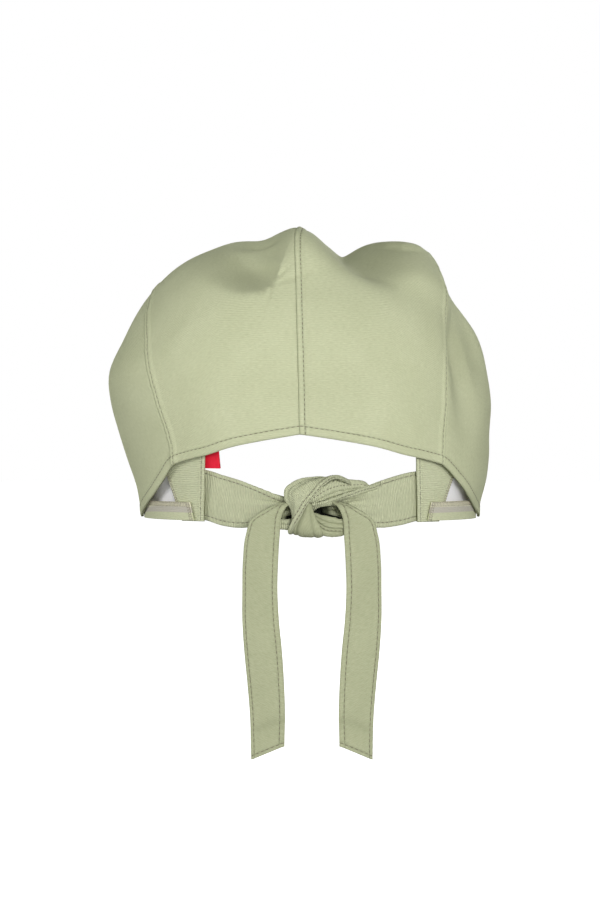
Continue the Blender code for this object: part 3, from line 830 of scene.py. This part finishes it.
def undulation(points, seed, wave):
    """A soft uneven surface, about -1 to 1, from waves in seeded directions."""
    random = np.random.default_rng(seed)
    total = np.zeros(points.shape[:-1])
    for _ in range(UNDULATIONS):
        ahead = unit(random.normal(size=3))
        length = wave * random.uniform(0.7, 1.5)
        total += np.sin(points @ ahead * 2 * math.pi / length + random.uniform(0, 6.28))
    return total / math.sqrt(UNDULATIONS) / 1.5


class SewnLine(NamedTuple):
    """A line pulled into the cloth: how far the cloth is from an edge, and how far in the line lies.

    At, width and depth are in mm; shade is painted shade, 1 as dark as a seam's and 2 as a deep hollow's.
    """

    far: np.ndarray
    at: float
    width: float
    depth: float
    shade: float


def pulled_in(lines):
    """The grooves of the sewn lines, and the shade painted on the cloth there."""
    height, shade = 0.0, 0.0
    for line in lines:
        near = np.exp(-(((line.far / MM - line.at) / line.width) ** 2))
        height = height - line.depth * MM * near
        shade = np.maximum(shade, line.shade * near)
    return height, shade


def ply_under(far, until, fade, height):
    """The extra thickness of a turned-in ply, which ends softly."""
    return height * (1 - eased_in((far - until) / fade))


def outward(points):
    """The normals of a grid of points, on the side away from the middle of the head."""
    normals = unit(np.cross(np.gradient(points, axis=0), np.gradient(points, axis=1)))
    away = np.sum(normals * (points - INSIDE), axis=-1).mean()
    return normals if away > 0 else -normals


def distance_to(points, line):
    """How far each point lies from a line, which is filled in to a fine step first."""
    lengths = path_lengths(line)
    fine = np.linspace(0, lengths[-1], max(int(lengths[-1] / FINE_STEP), 2))
    fine = np.stack([np.interp(fine, lengths, line[:, axis]) for axis in range(3)], axis=-1)
    tree = kdtree.KDTree(len(fine))
    for index, point in enumerate(fine):
        tree.insert(point, index)
    tree.balance()
    flat = points.reshape(-1, 3)
    return np.array([tree.find(point)[2] for point in flat]).reshape(points.shape[:-1])


def lengths_along(points, axis):
    """The length of the cloth along each grid line, from its first point."""
    steps = np.linalg.norm(np.diff(points, axis=axis), axis=-1)
    start = np.zeros_like(steps[:1] if axis == 0 else steps[:, :1])
    return np.concatenate([start, np.cumsum(steps, axis=axis)], axis=axis)


def lay_cloth(name, place, kind, thickness, look=None, relief=None, weave=None):
    """A cloth piece: a flat grid of its kind laid on its form, raised by its relief and made thick.

    The cloth map holds metres across and along the weave, and relief gets the ply before it is
    raised. Without a look, the piece is only its mesh.
    """
    crowd = GRIDS[kind].crowd
    grid = bmesh.new()
    bmesh.ops.create_grid(grid, x_segments=GRIDS[kind].along, y_segments=GRIDS[kind].across, size=0.5)
    flat = np.array([vert.co.to_tuple() for vert in grid.verts]) + 0.5
    order = np.lexsort((np.round(flat[:, 1], 6), np.round(flat[:, 0], 6)))
    shape = (len(set(np.round(flat[:, 0], 6))), len(set(np.round(flat[:, 1], 6))))
    along, across = (
        flat[order, axis] - crowd[axis] * np.sin(2 * math.pi * flat[order, axis]) / (2 * math.pi)
        for axis in (0, 1)
    )
    points = place(along.reshape(shape), across.reshape(shape))
    edges = (points[0], points[-1], points[:, 0], points[:, -1])
    apart = (distance_to(points, edge) for edge in edges)
    ply = Ply(None, thickness, points, outward(points), *apart)
    # Painted shade of seams, folds and hollows, from the relief's lines
    shade = np.zeros(ply.back.shape)
    if relief is not None:
        height, lines = relief(ply)
        drawn, shade = pulled_in(lines)
        raised = points + ply.normals * (height + drawn)[..., None]
        ply = ply._replace(points=raised, normals=outward(raised))
    verts = list(grid.verts)
    for index, point in zip(order, ply.points.reshape(-1, 3)):
        verts[index].co = point
    bmesh.ops.recalc_face_normals(grid, faces=grid.faces)
    mesh = bpy.data.meshes.new(name)
    grid.to_mesh(mesh)
    grid.free()
    threads = weave(ply) if weave else (lengths_along(points, 1), lengths_along(points, 0))
    mark_cloth(mesh, order, threads, shade)
    if look is None:
        return ply._replace(piece=mesh)
    piece = show(name, mesh, look)
    thicken(piece, thickness)
    return ply._replace(piece=piece)


def mark_cloth(mesh, order, threads, shade):
    """Gives a grid its cloth map and the shade painted on its seams, folds and hollows; order holds its
    vertices row by row.
    """
    at_vert = np.empty((len(order), 2))
    at_vert[order] = np.stack(threads, axis=-1).reshape(-1, 2)
    loop_verts = np.empty(len(mesh.loops), dtype=np.int32)
    mesh.loops.foreach_get("vertex_index", loop_verts)
    mesh.uv_layers.new(name="cloth").data.foreach_set("uv", at_vert[loop_verts].ravel())
    shades = np.empty(len(order), dtype=np.float32)
    shades[order] = shade.ravel()
    mesh.attributes.new("painted_shade", "FLOAT", "POINT").data.foreach_set("value", shades)


def thicken(piece, thickness):
    wall = piece.modifiers.new("wall", "SOLIDIFY")
    wall.thickness = thickness
    wall.offset = 0


def show(name, mesh, look):
    mesh.shade_smooth()
    mesh.materials.append(LOOKS[look])
    piece = add_object(name, mesh)
    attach(piece, "root")
    return piece


def line_on(ply, far, value, axis, flip=False, keep=None):
    """Where a ply lies this far from an edge, as points and normals: one place on each grid line."""
    fields = [far, ply.points, ply.normals, np.ones(far.shape, bool) if keep is None else keep]
    if axis == 0:
        fields = [np.swapaxes(field, 0, 1) for field in fields]
    if flip:
        fields = [field[:, ::-1] for field in fields]
    far, points, normals, keep = fields
    found = []
    for row in range(len(far)):
        step = int(np.argmax(far[row] >= value))
        if step == 0 or not keep[row, step]:
            continue
        part = (value - far[row, step - 1]) / (far[row, step] - far[row, step - 1])
        found.append([a[row, step - 1] * (1 - part) + a[row, step] * part for a in (points, normals)])
    found = np.array(found)
    if len(found):
        found[:, 0] += found[:, 1] * ply.thickness / 2
    return found


def sew(
    mesh, line, pitch=STITCH_PITCH, length=STITCH_LENGTH, thread=THREAD, lift=THREAD_LIFT, across=False
):
    """A row of stitches along a line of points and normals; across turns each to cross the line."""
    if len(line) < 2:
        return
    row = bmesh.new()
    points, normals = line[:, 0], line[:, 1]
    far = path_lengths(points)
    for middle in np.arange(pitch / 2, far[-1] - pitch / 4, pitch):
        here, before, after, normal = (
            np.array([np.interp(place, far, array[:, axis]) for axis in range(3)])
            for place, array in (
                (middle, points),
                (middle - length / 2, points),
                (middle + length / 2, points),
                (middle, normals),
            )
        )
        ahead = unit(after - before)
        normal = unit(normal - ahead * np.dot(normal, ahead))
        aside = np.cross(normal, ahead)
        if across:
            ahead, aside = aside, ahead
        stitch = np.identity(4)
        stitch[:3, 0] = aside * thread / 2
        stitch[:3, 1] = normal * thread * 0.4
        stitch[:3, 2] = ahead * length / 2
        stitch[:3, 3] = here + normal * lift
        placed = Matrix(stitch.tolist())
        bmesh.ops.create_uvsphere(row, u_segments=6, v_segments=4, radius=1, matrix=placed)
    sewn_row = bpy.data.meshes.new("row")
    row.to_mesh(sewn_row)
    row.free()
    mesh.from_mesh(sewn_row)
    bpy.data.meshes.remove(sewn_row)


class Wire:
    """A socket that takes part in sums: each operator adds its Math node."""

    def __init__(self, nodes, socket):
        self.nodes = nodes
        self.socket = socket

    def maths(self, operation, *values):
        return self.nodes.add("ShaderNodeMath", dict(enumerate(values)), operation=operation)

    def __add__(self, other):
        return self.maths("ADD", self, other)

    def __sub__(self, other):
        return self.maths("SUBTRACT", self, other)

    def __mul__(self, other):
        return self.maths("MULTIPLY", self, other)

    def sine(self):
        return self.maths("SINE", self)

    def held(self):
        """Kept from 0 to 1."""
        return self.maths("MAXIMUM", self.maths("MINIMUM", self, 1.0), 0.0)


class Nodes:
    """The nodes of a material or of the sky, in the making."""

    def __init__(self, owner):
        owner.use_nodes = True
        self.owner = owner
        self.tree = owner.node_tree

    def fill(self, node, sockets):
        """Gives a node's sockets their values or wires."""
        for key, value in sockets.items():
            if isinstance(value, Wire):
                self.tree.links.new(value.socket, node.inputs[key])
            else:
                node.inputs[key].default_value = value

    def add(self, kind, sockets=None, out=0, **settings):
        """Any node: its settings first, then its sockets."""
        node = self.tree.nodes.new(kind)
        for name, value in settings.items():
            setattr(node, name, value)
        self.fill(node, sockets or {})
        return Wire(self, node.outputs[out])

    def mix(self, part, first, second):
        return self.add("ShaderNodeMix", {0: part, 6: first, 7: second}, out=2, data_type="RGBA")

    def noise(self, place, scale, detail=2.0):
        return self.add("ShaderNodeTexNoise", {"Vector": place, "Scale": scale, "Detail": detail})

    def surface(self, roughness, colour, height=None, depth=None):
        """A cloth's material: its colour, and the height of its weave over this depth."""
        sockets = {"Roughness": roughness, "Specular IOR Level": 0.25, "Base Color": colour}
        if height is not None:
            bump = {"Strength": 0.6, "Distance": depth, "Height": height}
            sockets["Normal"] = self.add("ShaderNodeBump", bump)
        self.fill(self.tree.nodes["Principled BSDF"], sockets)
        return self.owner


def new_cloth(name):
    return Nodes(bpy.data.materials.new(name))


def linear(red, green, blue):
    """A colour of the usual 0 to 255 kind, as a shader takes it."""
    shares = (value / 255 for value in (red, green, blue))
    return (*(s / 12.92 if s <= 0.04045 else ((s + 0.055) / 1.055) ** 2.4 for s in shares), 1)


# Painted shade: the colours that seams and folds, then deep hollows, are darkened towards
PAINTED_SEAM_SHADE = linear(72, 77, 54)
PAINTED_HOLLOW_SHADE = linear(24, 28, 20)


def woven(cloth, rib=RIB, warp=WARP, turned=False):
    """Ribs and threads of a weave, from the cloth map: place in mm, rib, thread and slub wires.

    Ribs lie across the second direction of the map, or across the first if they are turned.
    """
    uv = cloth.add("ShaderNodeUVMap", uv_map="cloth")
    place = cloth.add("ShaderNodeMapping", {"Vector": uv, "Scale": (1000, 1000, 1)})
    axes = (1, 0) if turned else (0, 1)
    aside, along = (cloth.add("ShaderNodeSeparateXYZ", {"Vector": place}, out=axis) for axis in axes)
    stretched = (1900, 420, 1) if turned else (420, 1900, 1)
    stretch = cloth.add("ShaderNodeMapping", {"Vector": uv, "Scale": stretched})
    slub = cloth.noise(stretch, 1.0)
    drift = cloth.noise(place, 0.11)
    ribs = ((along + drift * 1.6) * (2 * math.pi / rib)).sine()
    threads = ((aside + along * 0.2) * (2 * math.pi / warp)).sine()
    return place, ribs, threads, slub


def twill(name, dark, light, rib_share=0.5, depth=0.12 * MM, turned=False):
    """The pale green cloth: fine ribs, heathered threads, a slow drift in tone, and painted shade along
    seams, in folds and in hollows.
    """
    cloth = new_cloth(name)
    place, ribs, threads, slub = woven(cloth, turned=turned)
    drift = cloth.noise(place, 0.035, 3.0)
    tone = ribs * (0.12 * rib_share) + threads * 0.05 + slub * 1.1 + drift * 0.5 - 0.3
    colour = cloth.mix(tone.held(), dark, light)
    # Painted shade: the mesh's shade darkens the colour towards a seam's shade, and past 1 towards a deep
    # hollow's
    seam = cloth.add("ShaderNodeAttribute", out=2, attribute_name="painted_shade")
    colour = cloth.mix(seam.held(), colour, PAINTED_SEAM_SHADE)
    colour = cloth.mix((seam - 1.0).held(), colour, PAINTED_HOLLOW_SHADE)
    height = ribs * rib_share + threads * 0.25 + slub * 0.8
    return cloth.surface(0.88, colour, height, depth)


def thread_look(name, dark, light):
    cloth = new_cloth(name)
    place = cloth.add("ShaderNodeTexCoord", out=3)
    twist = cloth.noise(place, 2500.0)
    return cloth.surface(0.75, cloth.mix(twist.held(), dark, light))


def facing_look():
    """The rim facing: green at its foot, then a lilac-grey band up to the serged edge."""
    cloth = new_cloth("facing_cloth")
    place, ribs, _, slub = woven(cloth)
    along = cloth.add("ShaderNodeSeparateXYZ", {"Vector": place}, out=1)
    green = cloth.mix(slub.held(), linear(190, 194, 158), linear(220, 222, 190))
    grey = cloth.mix(slub.held(), linear(178, 173, 160), linear(214, 209, 196))
    cream = cloth.mix(slub.held(), linear(206, 202, 176), linear(238, 235, 212))
    lower = cloth.mix(((along - 4.0) * 4.0).held(), green, grey)
    colour = cloth.mix(((along - 7.0) * 4.0).held(), lower, cream)
    return cloth.surface(0.9, colour, ribs * 0.4 + slub, 0.12 * MM)


def lining_look():
    cloth = new_cloth("lining_cloth")
    _, ribs, threads, slub = woven(cloth, 0.5, 0.5)
    colour = cloth.mix((slub * 1.2 - 0.1).held(), linear(244, 242, 248), linear(255, 253, 255))
    return cloth.surface(0.8, colour, ribs * 0.4 + threads * 0.4, 0.05 * MM)


def label_look():
    cloth = new_cloth("label_tape")
    _, ribs, threads, slub = woven(cloth, 0.45, 0.45)
    tone = (slub * 0.9 + ribs * 0.12).held()
    colour = cloth.mix(tone, linear(226, 24, 50), linear(248, 40, 68))
    return cloth.surface(0.62, colour, ribs * 0.6 + threads * 0.4, 0.05 * MM)


LOOKS = {
    "twill": twill("pale_green_twill", linear(185, 189, 151), linear(215, 218, 185)),
    # The band ends: the crown's twill with stronger ribs, painted lighter to make up for the shade they lie
    # in under the arch
    "band": twill("ribbed_twill_painted_lighter", linear(196, 200, 164), linear(228, 231, 198), 1.3, 0.2 * MM),
    # The tails and knot: the same twill with fainter ribs, painted darker for the light they get
    "tie": twill("tie_twill_painted_darker", linear(160, 164, 130), linear(194, 197, 164), 0.35, 0.12 * MM),
    # The straps: the same twill with strong ribs across, painted lighter for the light they get
    "strap": twill("strap_twill_painted_lighter", linear(188, 192, 157), linear(226, 229, 195), 2.2, 0.2 * MM, turned=True),
    "thread": thread_look("grey_thread", linear(104, 98, 84), linear(140, 134, 116)),
    "overlock": thread_look("overlock_thread", linear(128, 120, 106), linear(196, 190, 168)),
    "facing": facing_look(),
    "lining": lining_look(),
    "label": label_look(),
}


def pucker(along, far, seed, height, reach):
    """Cloth that rises and falls along a seam and settles at this reach from it."""
    return height * MM * ripple(along, seed) * np.exp(-((far / (reach * MM)) ** 2))


def hem_relief(far, seed, ply):
    """A turned hem with its topstitch, the small puckers along the stitches, and painted shade along the
    stitches and the edge.
    """
    height = ply_under(far, HEM + 0.3 * MM, 1.2 * MM, HEM_PLY)
    height += pucker(ply.points[..., 0] + ply.points[..., 1], far - HEM, seed, 0.16, 3.5)
    return height, [SewnLine(far, HEM / MM, 0.5, 0.35, 0.3), SewnLine(far, 0, 0.5, 0.35, 0.35)]


def crown_relief(side):
    """The hems, the centre seam's topstitched ply on the right panel, and the side seam's, with painted
    shade along the seams and stitches.
    """

    def relief(ply):
        height, lines = hem_relief(np.minimum(ply.back, ply.front), 5, ply)
        along = lengths_along(ply.points, 0)
        if side > 0:
            height += ply_under(ply.inner, 2.2 * MM, 2.6 * MM, 0.85 * MM)
            lines.append(SewnLine(ply.inner, SEAM_STITCH / MM, 0.5, 0.4, 0.3))
            lines.append(SewnLine(ply.inner, 0, 0.3, 0.6, 0.6))
        else:
            lines.append(SewnLine(ply.inner, 0, 0.55, 0.7, 0.7))
        height += pucker(along, ply.inner, 7 + side, 0.16, 6)
        height += ply_under(ply.outer, 3.0 * MM, 2.6 * MM, 0.6 * MM)
        lines.append(SewnLine(ply.outer, SIDE_STITCH / MM, 0.5, 0.35, 0.3))
        lines.append(SewnLine(ply.outer, 0, 0.4, 0.6, 0.5))
        height += pucker(along, ply.outer, 11 + side, 0.2, 8)
        return height + 0.35 * MM * undulation(ply.points, 3, 45 * MM), lines

    return relief


def side_relief(side):
    """The hem of a side panel, and the seam where it goes under the crown panel, with painted shade along
    both.
    """

    def relief(ply):
        height, lines = hem_relief(np.minimum(np.minimum(ply.back, ply.front), ply.outer), 6, ply)
        lines.append(SewnLine(ply.inner, 0, 0.7, 0.5, 0.5))
        height += pucker(lengths_along(ply.points, 0), ply.inner, 17 + side, 0.2, 8)
        return height + 0.4 * MM * undulation(ply.points, 4, 40 * MM), lines

    return relief


def crown_weave(ply):
    """Ribs that lie level at the back of the head and follow the panel over the top."""
    along = lengths_along(ply.points, 0)
    heights = ply.points[:BACK_ROWS, :, 2]
    columns = range(along.shape[1])
    start = [np.interp(WEAVE_LEVEL, heights[:, column], along[:BACK_ROWS, column]) for column in columns]
    return lengths_along(ply.points, 1), along - np.array(start)


def side_weave(ply):
    """Ribs that follow the side panel's lower edge."""
    across = lengths_along(ply.points, 1)
    return lengths_along(ply.points, 0), across[:, -1:] - across


def cap_shell():
    """The crown and side panels, with their hems and topstitches."""
    sewn = bmesh.new()
    for side, name in ((-1, "left"), (1, "right")):
        place, relief = crown_panel(side), crown_relief(side)
        crown = lay_cloth(f"crown_panel_{name}", place, "crown", CLOTH, "twill", relief, crown_weave)
        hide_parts(f"crown_{name}")
        place, relief = side_panel(side), side_relief(side)
        flank = lay_cloth(f"side_panel_{name}", place, "side", CLOTH, "twill", relief, side_weave)
        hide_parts(f"side_{name}")
        sew(sewn, line_on(crown, crown.back, HEM, 0))
        sew(sewn, line_on(crown, crown.front, HEM, 0, flip=True))
        if side > 0:
            sew(sewn, line_on(crown, crown.inner, SEAM_STITCH, 1), SEAM_PITCH, SEAM_LENGTH)
        sew(sewn, line_on(crown, crown.outer, SIDE_STITCH, 1, flip=True))
        clear = np.minimum(flank.back, flank.front) > HEM
        sew(sewn, line_on(flank, flank.outer, HEM, 1, flip=True, keep=clear))
        sew(sewn, line_on(flank, flank.back, HEM, 0, keep=flank.outer > HEM))
        sew(sewn, line_on(flank, flank.front, HEM, 0, flip=True, keep=flank.outer > HEM))
    finish_threads(sewn, "crown_stitches")


def finish_threads(sewn, name, look="thread"):
    """Shows sewn stitches as a piece of their own."""
    mesh = bpy.data.meshes.new(name)
    bmesh.ops.recalc_face_normals(sewn, faces=sewn.faces)
    sewn.to_mesh(mesh)
    sewn.free()
    piece = show(name, mesh, look)


def tab_relief(ply):
    """A folded end with its stitches, with painted shade along them and its folded edge, and a serged far
    edge.
    """
    height = ply_under(ply.back, 2.6 * MM, 1.2 * MM, 0.3 * MM)
    height += 0.12 * MM * undulation(ply.points, 8, 18 * MM)
    stitched = SewnLine(ply.back, TAB_STITCH / MM, 0.4, 0.3, 0.3)
    return height, [stitched, SewnLine(ply.back, 0, 0.4, 0.35, 0.3)]


def corners():
    """Band ends, facings, linings and the label, which show under the arch at the lower corners."""
    facing_inset = inset_of(LINING_CLOTH)
    tab_inset = inset_of(LINING_CLOTH, CLOTH)
    lining_inset = inset_of(LINING_CLOTH, CLOTH, LINING_CLOTH)
    sewn, serged = bmesh.new(), bmesh.new()
    for side, name in ((-1, "left"), (1, "right")):
        place = corner_piece(side, *TAB_ENDS, (-BAND_DROP, TAB_HEIGHT), tab_inset)
        tab = lay_cloth(f"band_end_{name}", place, "tab", CLOTH, "band", tab_relief, along_first)
        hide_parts(f"tab_{name}")
        sew(sewn, line_on(tab, tab.back, TAB_STITCH, 0))
        serge(serged, tab, tab.front, flip=True, axis=0)

        place = corner_piece(side, *FACING_ENDS, (-FACING_DROP, FACING_HEIGHT), facing_inset)
        facing = lay_cloth(f"rim_facing_{name}", place, "facing", LINING_CLOTH, "facing", weave=along_first)
        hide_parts(f"facing_{name}")
        serge(serged, facing, facing.outer, flip=True, axis=1)
        serge(serged, facing, facing.back, flip=False, axis=0)

        place = corner_piece(side, *LINING_ENDS, (FACING_HEIGHT / 2, LINING_HEIGHT), lining_inset)
        lined = lay_cloth(f"lavender_lining_{name}", place, "lining", LINING_CLOTH, "lining")
        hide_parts(f"lining_{name}")

    place = corner_piece(-1, *LABEL_ENDS, (LABEL_FOOT, LABEL_FOOT + LABEL_HEIGHT), lining_inset)
    flap = lay_cloth("red_tab_label", place, "label", LINING_CLOTH, "label")
    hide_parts("label")
    finish_threads(sewn, "band_stitches")
    finish_threads(serged, "serging", "overlock")


def along_first(ply):
    """Ribs along the length of a corner piece or across that of a tie."""
    return lengths_along(ply.points, 0), lengths_along(ply.points, 1)


def serge(mesh, ply, far, flip, axis):
    """An overlocked edge: close loops over the edge, and a chain where they end."""
    for at, pitch, length, thread, lift, across in SERGING:
        line = line_on(ply, far, at * MM, axis, flip)
        sew(mesh, line, pitch * MM, length * MM, thread * MM, lift * MM, across)


def tie_lines(ply, outer, inner):
    """The stitched and the folded edges of a tie, with painted shade along them."""
    return [
        SewnLine(ply.outer, outer / MM, 0.45, 0.3, 0.3),
        SewnLine(ply.inner, inner / MM, 0.45, 0.3, 0.3),
        SewnLine(ply.outer, 0, 0.4, 0.35, 0.3),
        SewnLine(ply.inner, 0, 0.4, 0.35, 0.3),
    ]


def strap_relief(side):
    """The pleats and folds of a strap, which deepen towards the knot, with painted shade in the folds and
    at its end.
    """

    def relief(ply):
        length = lengths_along(ply.points, 0)
        drawn = eased_in(length / length[-1:] * 1.25 - 0.25)
        pleats = np.sin(2 * math.pi * (ply.across * 2.6 + 0.1 * side)) * drawn**1.5 * 0.9 * MM
        lines = tie_lines(ply, STRAP_OUTER_STITCH, STRAP_INNER_STITCH)
        # Painted shade at the strap's end, where it is drawn into the knot
        lines.append(SewnLine(ply.front, 0, 3.5, 0, 1.5))
        for place, shade in STRAP_FOLDS:
            away = np.abs(ply.across - place) * ply.width
            lines.append(SewnLine(away, 0, 0.6, 0.5 * drawn**3, shade * drawn**3))
        return pleats + 0.25 * MM * undulation(ply.points, 20 + side, 16 * MM) * (1 - drawn), lines

    return relief


def tail_relief(side):
    """The stitches round a tail, and the soft bend a little above its end, with a little painted shade in
    the bend.
    """

    def relief(ply):
        lines = tie_lines(ply, TAIL_OUTER_STITCH, TAIL_INNER_STITCH)
        lines.append(SewnLine(ply.front, TAIL_END_STITCH / MM, 0.45, 0.25, 0.3))
        # Painted shade in the bend
        lines.append(SewnLine(np.abs(ply.front - TAIL_BEND), 0, 2.5, 0.3, 0.12))
        return 0.3 * MM * undulation(ply.points, 30 + side, 26 * MM), lines

    return relief


def ties():
    """The two straps, their tails and the knot."""
    sewn = bmesh.new()
    for side, name in ((-1, "left"), (1, "right")):
        place, relief = strap(side), strap_relief(side)
        tie = lay_cloth(f"tie_strap_{name}", place, "strap", TIE_WALL, "strap", relief, along_first)
        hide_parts(f"strap_{name}")
        sew(sewn, line_on(tie, tie.outer, STRAP_OUTER_STITCH, 1, flip=True))
        sew(sewn, line_on(tie, tie.inner, STRAP_INNER_STITCH, 1))
        end = lay_cloth(f"hanging_tail_{name}", tail(side), "tail", TIE_WALL, "tie", tail_relief(side))
        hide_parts(f"tail_{name}")
        clear = end.front > TAIL_END_STITCH
        sew(sewn, line_on(end, end.outer, TAIL_OUTER_STITCH, 1, flip=True, keep=clear))
        sew(sewn, line_on(end, end.inner, TAIL_INNER_STITCH, 1, keep=clear))
        sew(sewn, line_on(end, end.front, TAIL_END_STITCH, 0, flip=True))
    knot(sewn)
    finish_threads(sewn, "tie_stitches")


class Wrap(NamedTuple):
    """How a wrap of the knot is made: its puff, its folds, the stitches and the shade painted over all of
    it.

    A fold is a place across from 0 to 1, a depth and a width in mm, and a painted shade. Puff and stitches
    are in mm; the stitches lie that far from its first or its other edge, and middle_stitches is a
    place across. A smooth wrap shows no ribs.
    """

    puff: float
    folds: tuple = ()
    stitches: tuple = ()
    other_stitches: tuple = ()
    middle_stitches: tuple = ()
    shade: float = 0.0
    smooth: bool = False


WRAPS = {
    "main_wrap": Wrap(1.3, ((0.16, 0.7, 0.8, 0.35), (0.30, 0.5, 0.9, 0.25)), (), (0.6, 1.9)),
    "second_layer": Wrap(1.0, ((0.62, 0.6, 0.5, 0.4), (0.82, 0.5, 0.4, 0.4)), (), (), (0.36,)),
    "strap_edge": Wrap(0.8, ((0.55, 0.4, 0.4, 0.3),), (1.1,)),
    "loop_edge": Wrap(0.5, (), (0.8,)),
    "lower_lobe": Wrap(
        1.3,
        ((0.25, 0.9, 0.5, 0.5), (0.52, 1.1, 0.5, 0.6), (0.7, 0.6, 0.5, 0.3)),
        middle_stitches=(0.62,),
        smooth=True,
    ),
    "middle_lobe": Wrap(1.3, ((0.16, 0.5, 0.9, 0.3), (0.72, 0.5, 0.9, 0.2)), smooth=True),
    "left_return": Wrap(1.0, ((0.45, 0.6, 0.5, 0.4),)),
    # Painted shade: this sheet behind the knot's holes is coloured as deep shade
    "core": Wrap(0.0, shade=2.0),
    "head_side": Wrap(-2.0, ((0.35, -0.5, 0.7, 0.3), (0.62, -0.5, 0.7, 0.3)), smooth=True),
    "right_flank": Wrap(0.0, ((0.5, 0.4, 0.7, 0.2),), smooth=True),
    # Painted shade over the left flank, which shows in the knot's holes
    "left_flank": Wrap(0.0, shade=0.5, smooth=True),
}
NARROW_WRAP = 3.4 * MM


def wrap_place(steps):
    """A wrap of the knot as a surface between its two edges."""
    x, z, out, other_x, other_z, other_out = np.array(steps).T * MM
    edges = np.column_stack([other_x, -nape() - other_out, other_z, x, -nape() - out, z])
    return between_edges(by_length(edges))


def wrap_relief(made):
    """The puff of a wrap, the folded lip along a stitched edge, and its creases, with painted shade along
    its edges and creases and over all of it.
    """

    def relief(ply):
        height = made.puff * MM * (4 * ply.across * (1 - ply.across)) ** 0.6
        lines = []
        for edge, stitches in ((ply.inner, made.stitches), (ply.outer, made.other_stitches)):
            if stitches:
                height = height + ply_under(edge, 2.1 * MM, 0.4 * MM, 0.55 * MM)
            lines += [SewnLine(edge, at, 0.4, 0.25, 0.25) for at in stitches]
            lines += [SewnLine(edge, 0, 0.4, 0.3, 0.2)]
        for place, depth, width, shade in made.folds:
            away = np.abs(ply.across - place) * ply.width
            lines.append(SewnLine(away, 0, width, depth, shade))
        # Painted shade over the whole wrap
        lines.append(SewnLine(0 * ply.across, 0, 1, 0, made.shade))
        return height + 0.25 * MM * undulation(ply.points, 40, 8 * MM), lines

    return relief


def knot(sewn):
    """The knot: its wraps laid over each other, from the one at the front to the sheet painted in deep
    shade behind its holes.
    """
    tied = bmesh.new()
    for name, made in WRAPS.items():
        place, relief = wrap_place(KNOT_WRAPS[name]), wrap_relief(made)
        ply = lay_cloth(name, place, "wrap", WRAP_WALL, None, relief, along_first)
        wide = ply.width > NARROW_WRAP
        rows = [line_on(ply, ply.inner, at * MM, 1, keep=wide) for at in made.stitches]
        rows += [line_on(ply, ply.outer, at * MM, 1, flip=True, keep=wide) for at in made.other_stitches]
        rows += [line_on(ply, ply.across, at, 1, keep=wide) for at in made.middle_stitches]
        for row in rows:
            sew(sewn, row, KNOT_PITCH, KNOT_LENGTH)
        faces = len(tied.faces)
        tied.from_mesh(ply.piece)
        for face in list(tied.faces)[faces:]:
            face.material_index = int(made.smooth)
        bpy.data.meshes.remove(ply.piece)
    mesh = bpy.data.meshes.new("tied_knot")
    tied.to_mesh(mesh)
    tied.free()
    piece = show("tied_knot", mesh, "strap")
    mesh.materials.append(LOOKS["tie"])
    thicken(piece, WRAP_WALL)
    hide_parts("knot")


# Studio: lengths in metres
FLOOR_GREY = 0.55
FLOOR_RADIUS = 14
FLOOR_HEIGHT = -160 * MM

# How bright the sky is: between these two heights it goes from the third value to the fourth
SKY_RANGE = (0.0, 0.8, 0.44, 0.12)
SKY_TINT = (0.94, 1.0, 0.90, 1)
WHITE = (1, 1, 1, 1)

# Lamps: where, size in metres, watts
LAMPS = {
    "key": ((0.5, -2.2, 0.38), 0.7, 32.5),
    "fill": ((-2.2, -0.55, 0.1), 1.0, 20.5),
    "right_fill": ((1.8, -1.0, 0.0), 1.0, 3.5),
    "forehead": ((0.5, 2.3, 1.0), 1.2, 22.0),
}
LAMP_AIM = np.array([0, 0, 0.06])


def seen_and_lit(nodes, seen, lit):
    """A brightness that is one value where the camera looks and another in the light that it gives."""
    looked_at = nodes.add("ShaderNodeLightPath")
    return nodes.add("ShaderNodeMix", {0: looked_at, 2: lit, 3: seen})


def studio_floor():
    """A pale floor, which looks white and shines on nothing."""
    floor = bpy.data.materials.new("studio_floor")
    nodes = Nodes(floor)
    sockets = {
        "Base Color": (FLOOR_GREY, FLOOR_GREY, FLOOR_GREY, 1),
        "Roughness": 0.9,
        "Emission Color": WHITE,
        "Emission Strength": seen_and_lit(nodes, 1.0, 0.0),
    }
    nodes.fill(nodes.tree.nodes["Principled BSDF"], sockets)
    ground = bmesh.new()
    bmesh.ops.create_circle(ground, cap_ends=True, segments=96, radius=FLOOR_RADIUS)
    bmesh.ops.translate(ground, verts=ground.verts, vec=(0, 0, FLOOR_HEIGHT))
    mesh = bpy.data.meshes.new("studio_floor")
    ground.to_mesh(mesh)
    ground.free()
    mesh.materials.append(floor)
    plane = add_object("studio_floor", mesh)


def sky():
    """A soft sky that looks white, is a little green in its light, and is darker towards the ceiling."""
    world = bpy.data.worlds.new("studio")
    bpy.context.scene.world = world
    nodes = Nodes(world)
    place = nodes.add("ShaderNodeTexCoord")
    height = nodes.add("ShaderNodeSeparateXYZ", {0: place}, out=2)
    lit = nodes.add("ShaderNodeMapRange", {0: height, **dict(enumerate(SKY_RANGE, 1))})
    tint = nodes.mix(nodes.add("ShaderNodeLightPath"), SKY_TINT, WHITE)
    sockets = {"Color": tint, "Strength": seen_and_lit(nodes, 1.0, lit)}
    nodes.fill(world.node_tree.nodes["Background"], sockets)


def lamps():
    """Broad lamps, each turned towards the cap."""
    for name, (place, size, power) in LAMPS.items():
        lamp = bpy.data.lights.new(name, "AREA")
        lamp.size = size
        lamp.energy = power
        shown = add_object(name, lamp)
        shown.location = place
        x, y, z = LAMP_AIM - np.array(place)
        shown.rotation_euler = (math.atan2(math.hypot(x, y), -z), 0, math.atan2(y, x) - math.pi / 2)


camera()
cap_shell()
corners()
ties()
studio_floor()
sky()
lamps()
bpy.context.scene.view_settings.view_transform = "Standard"
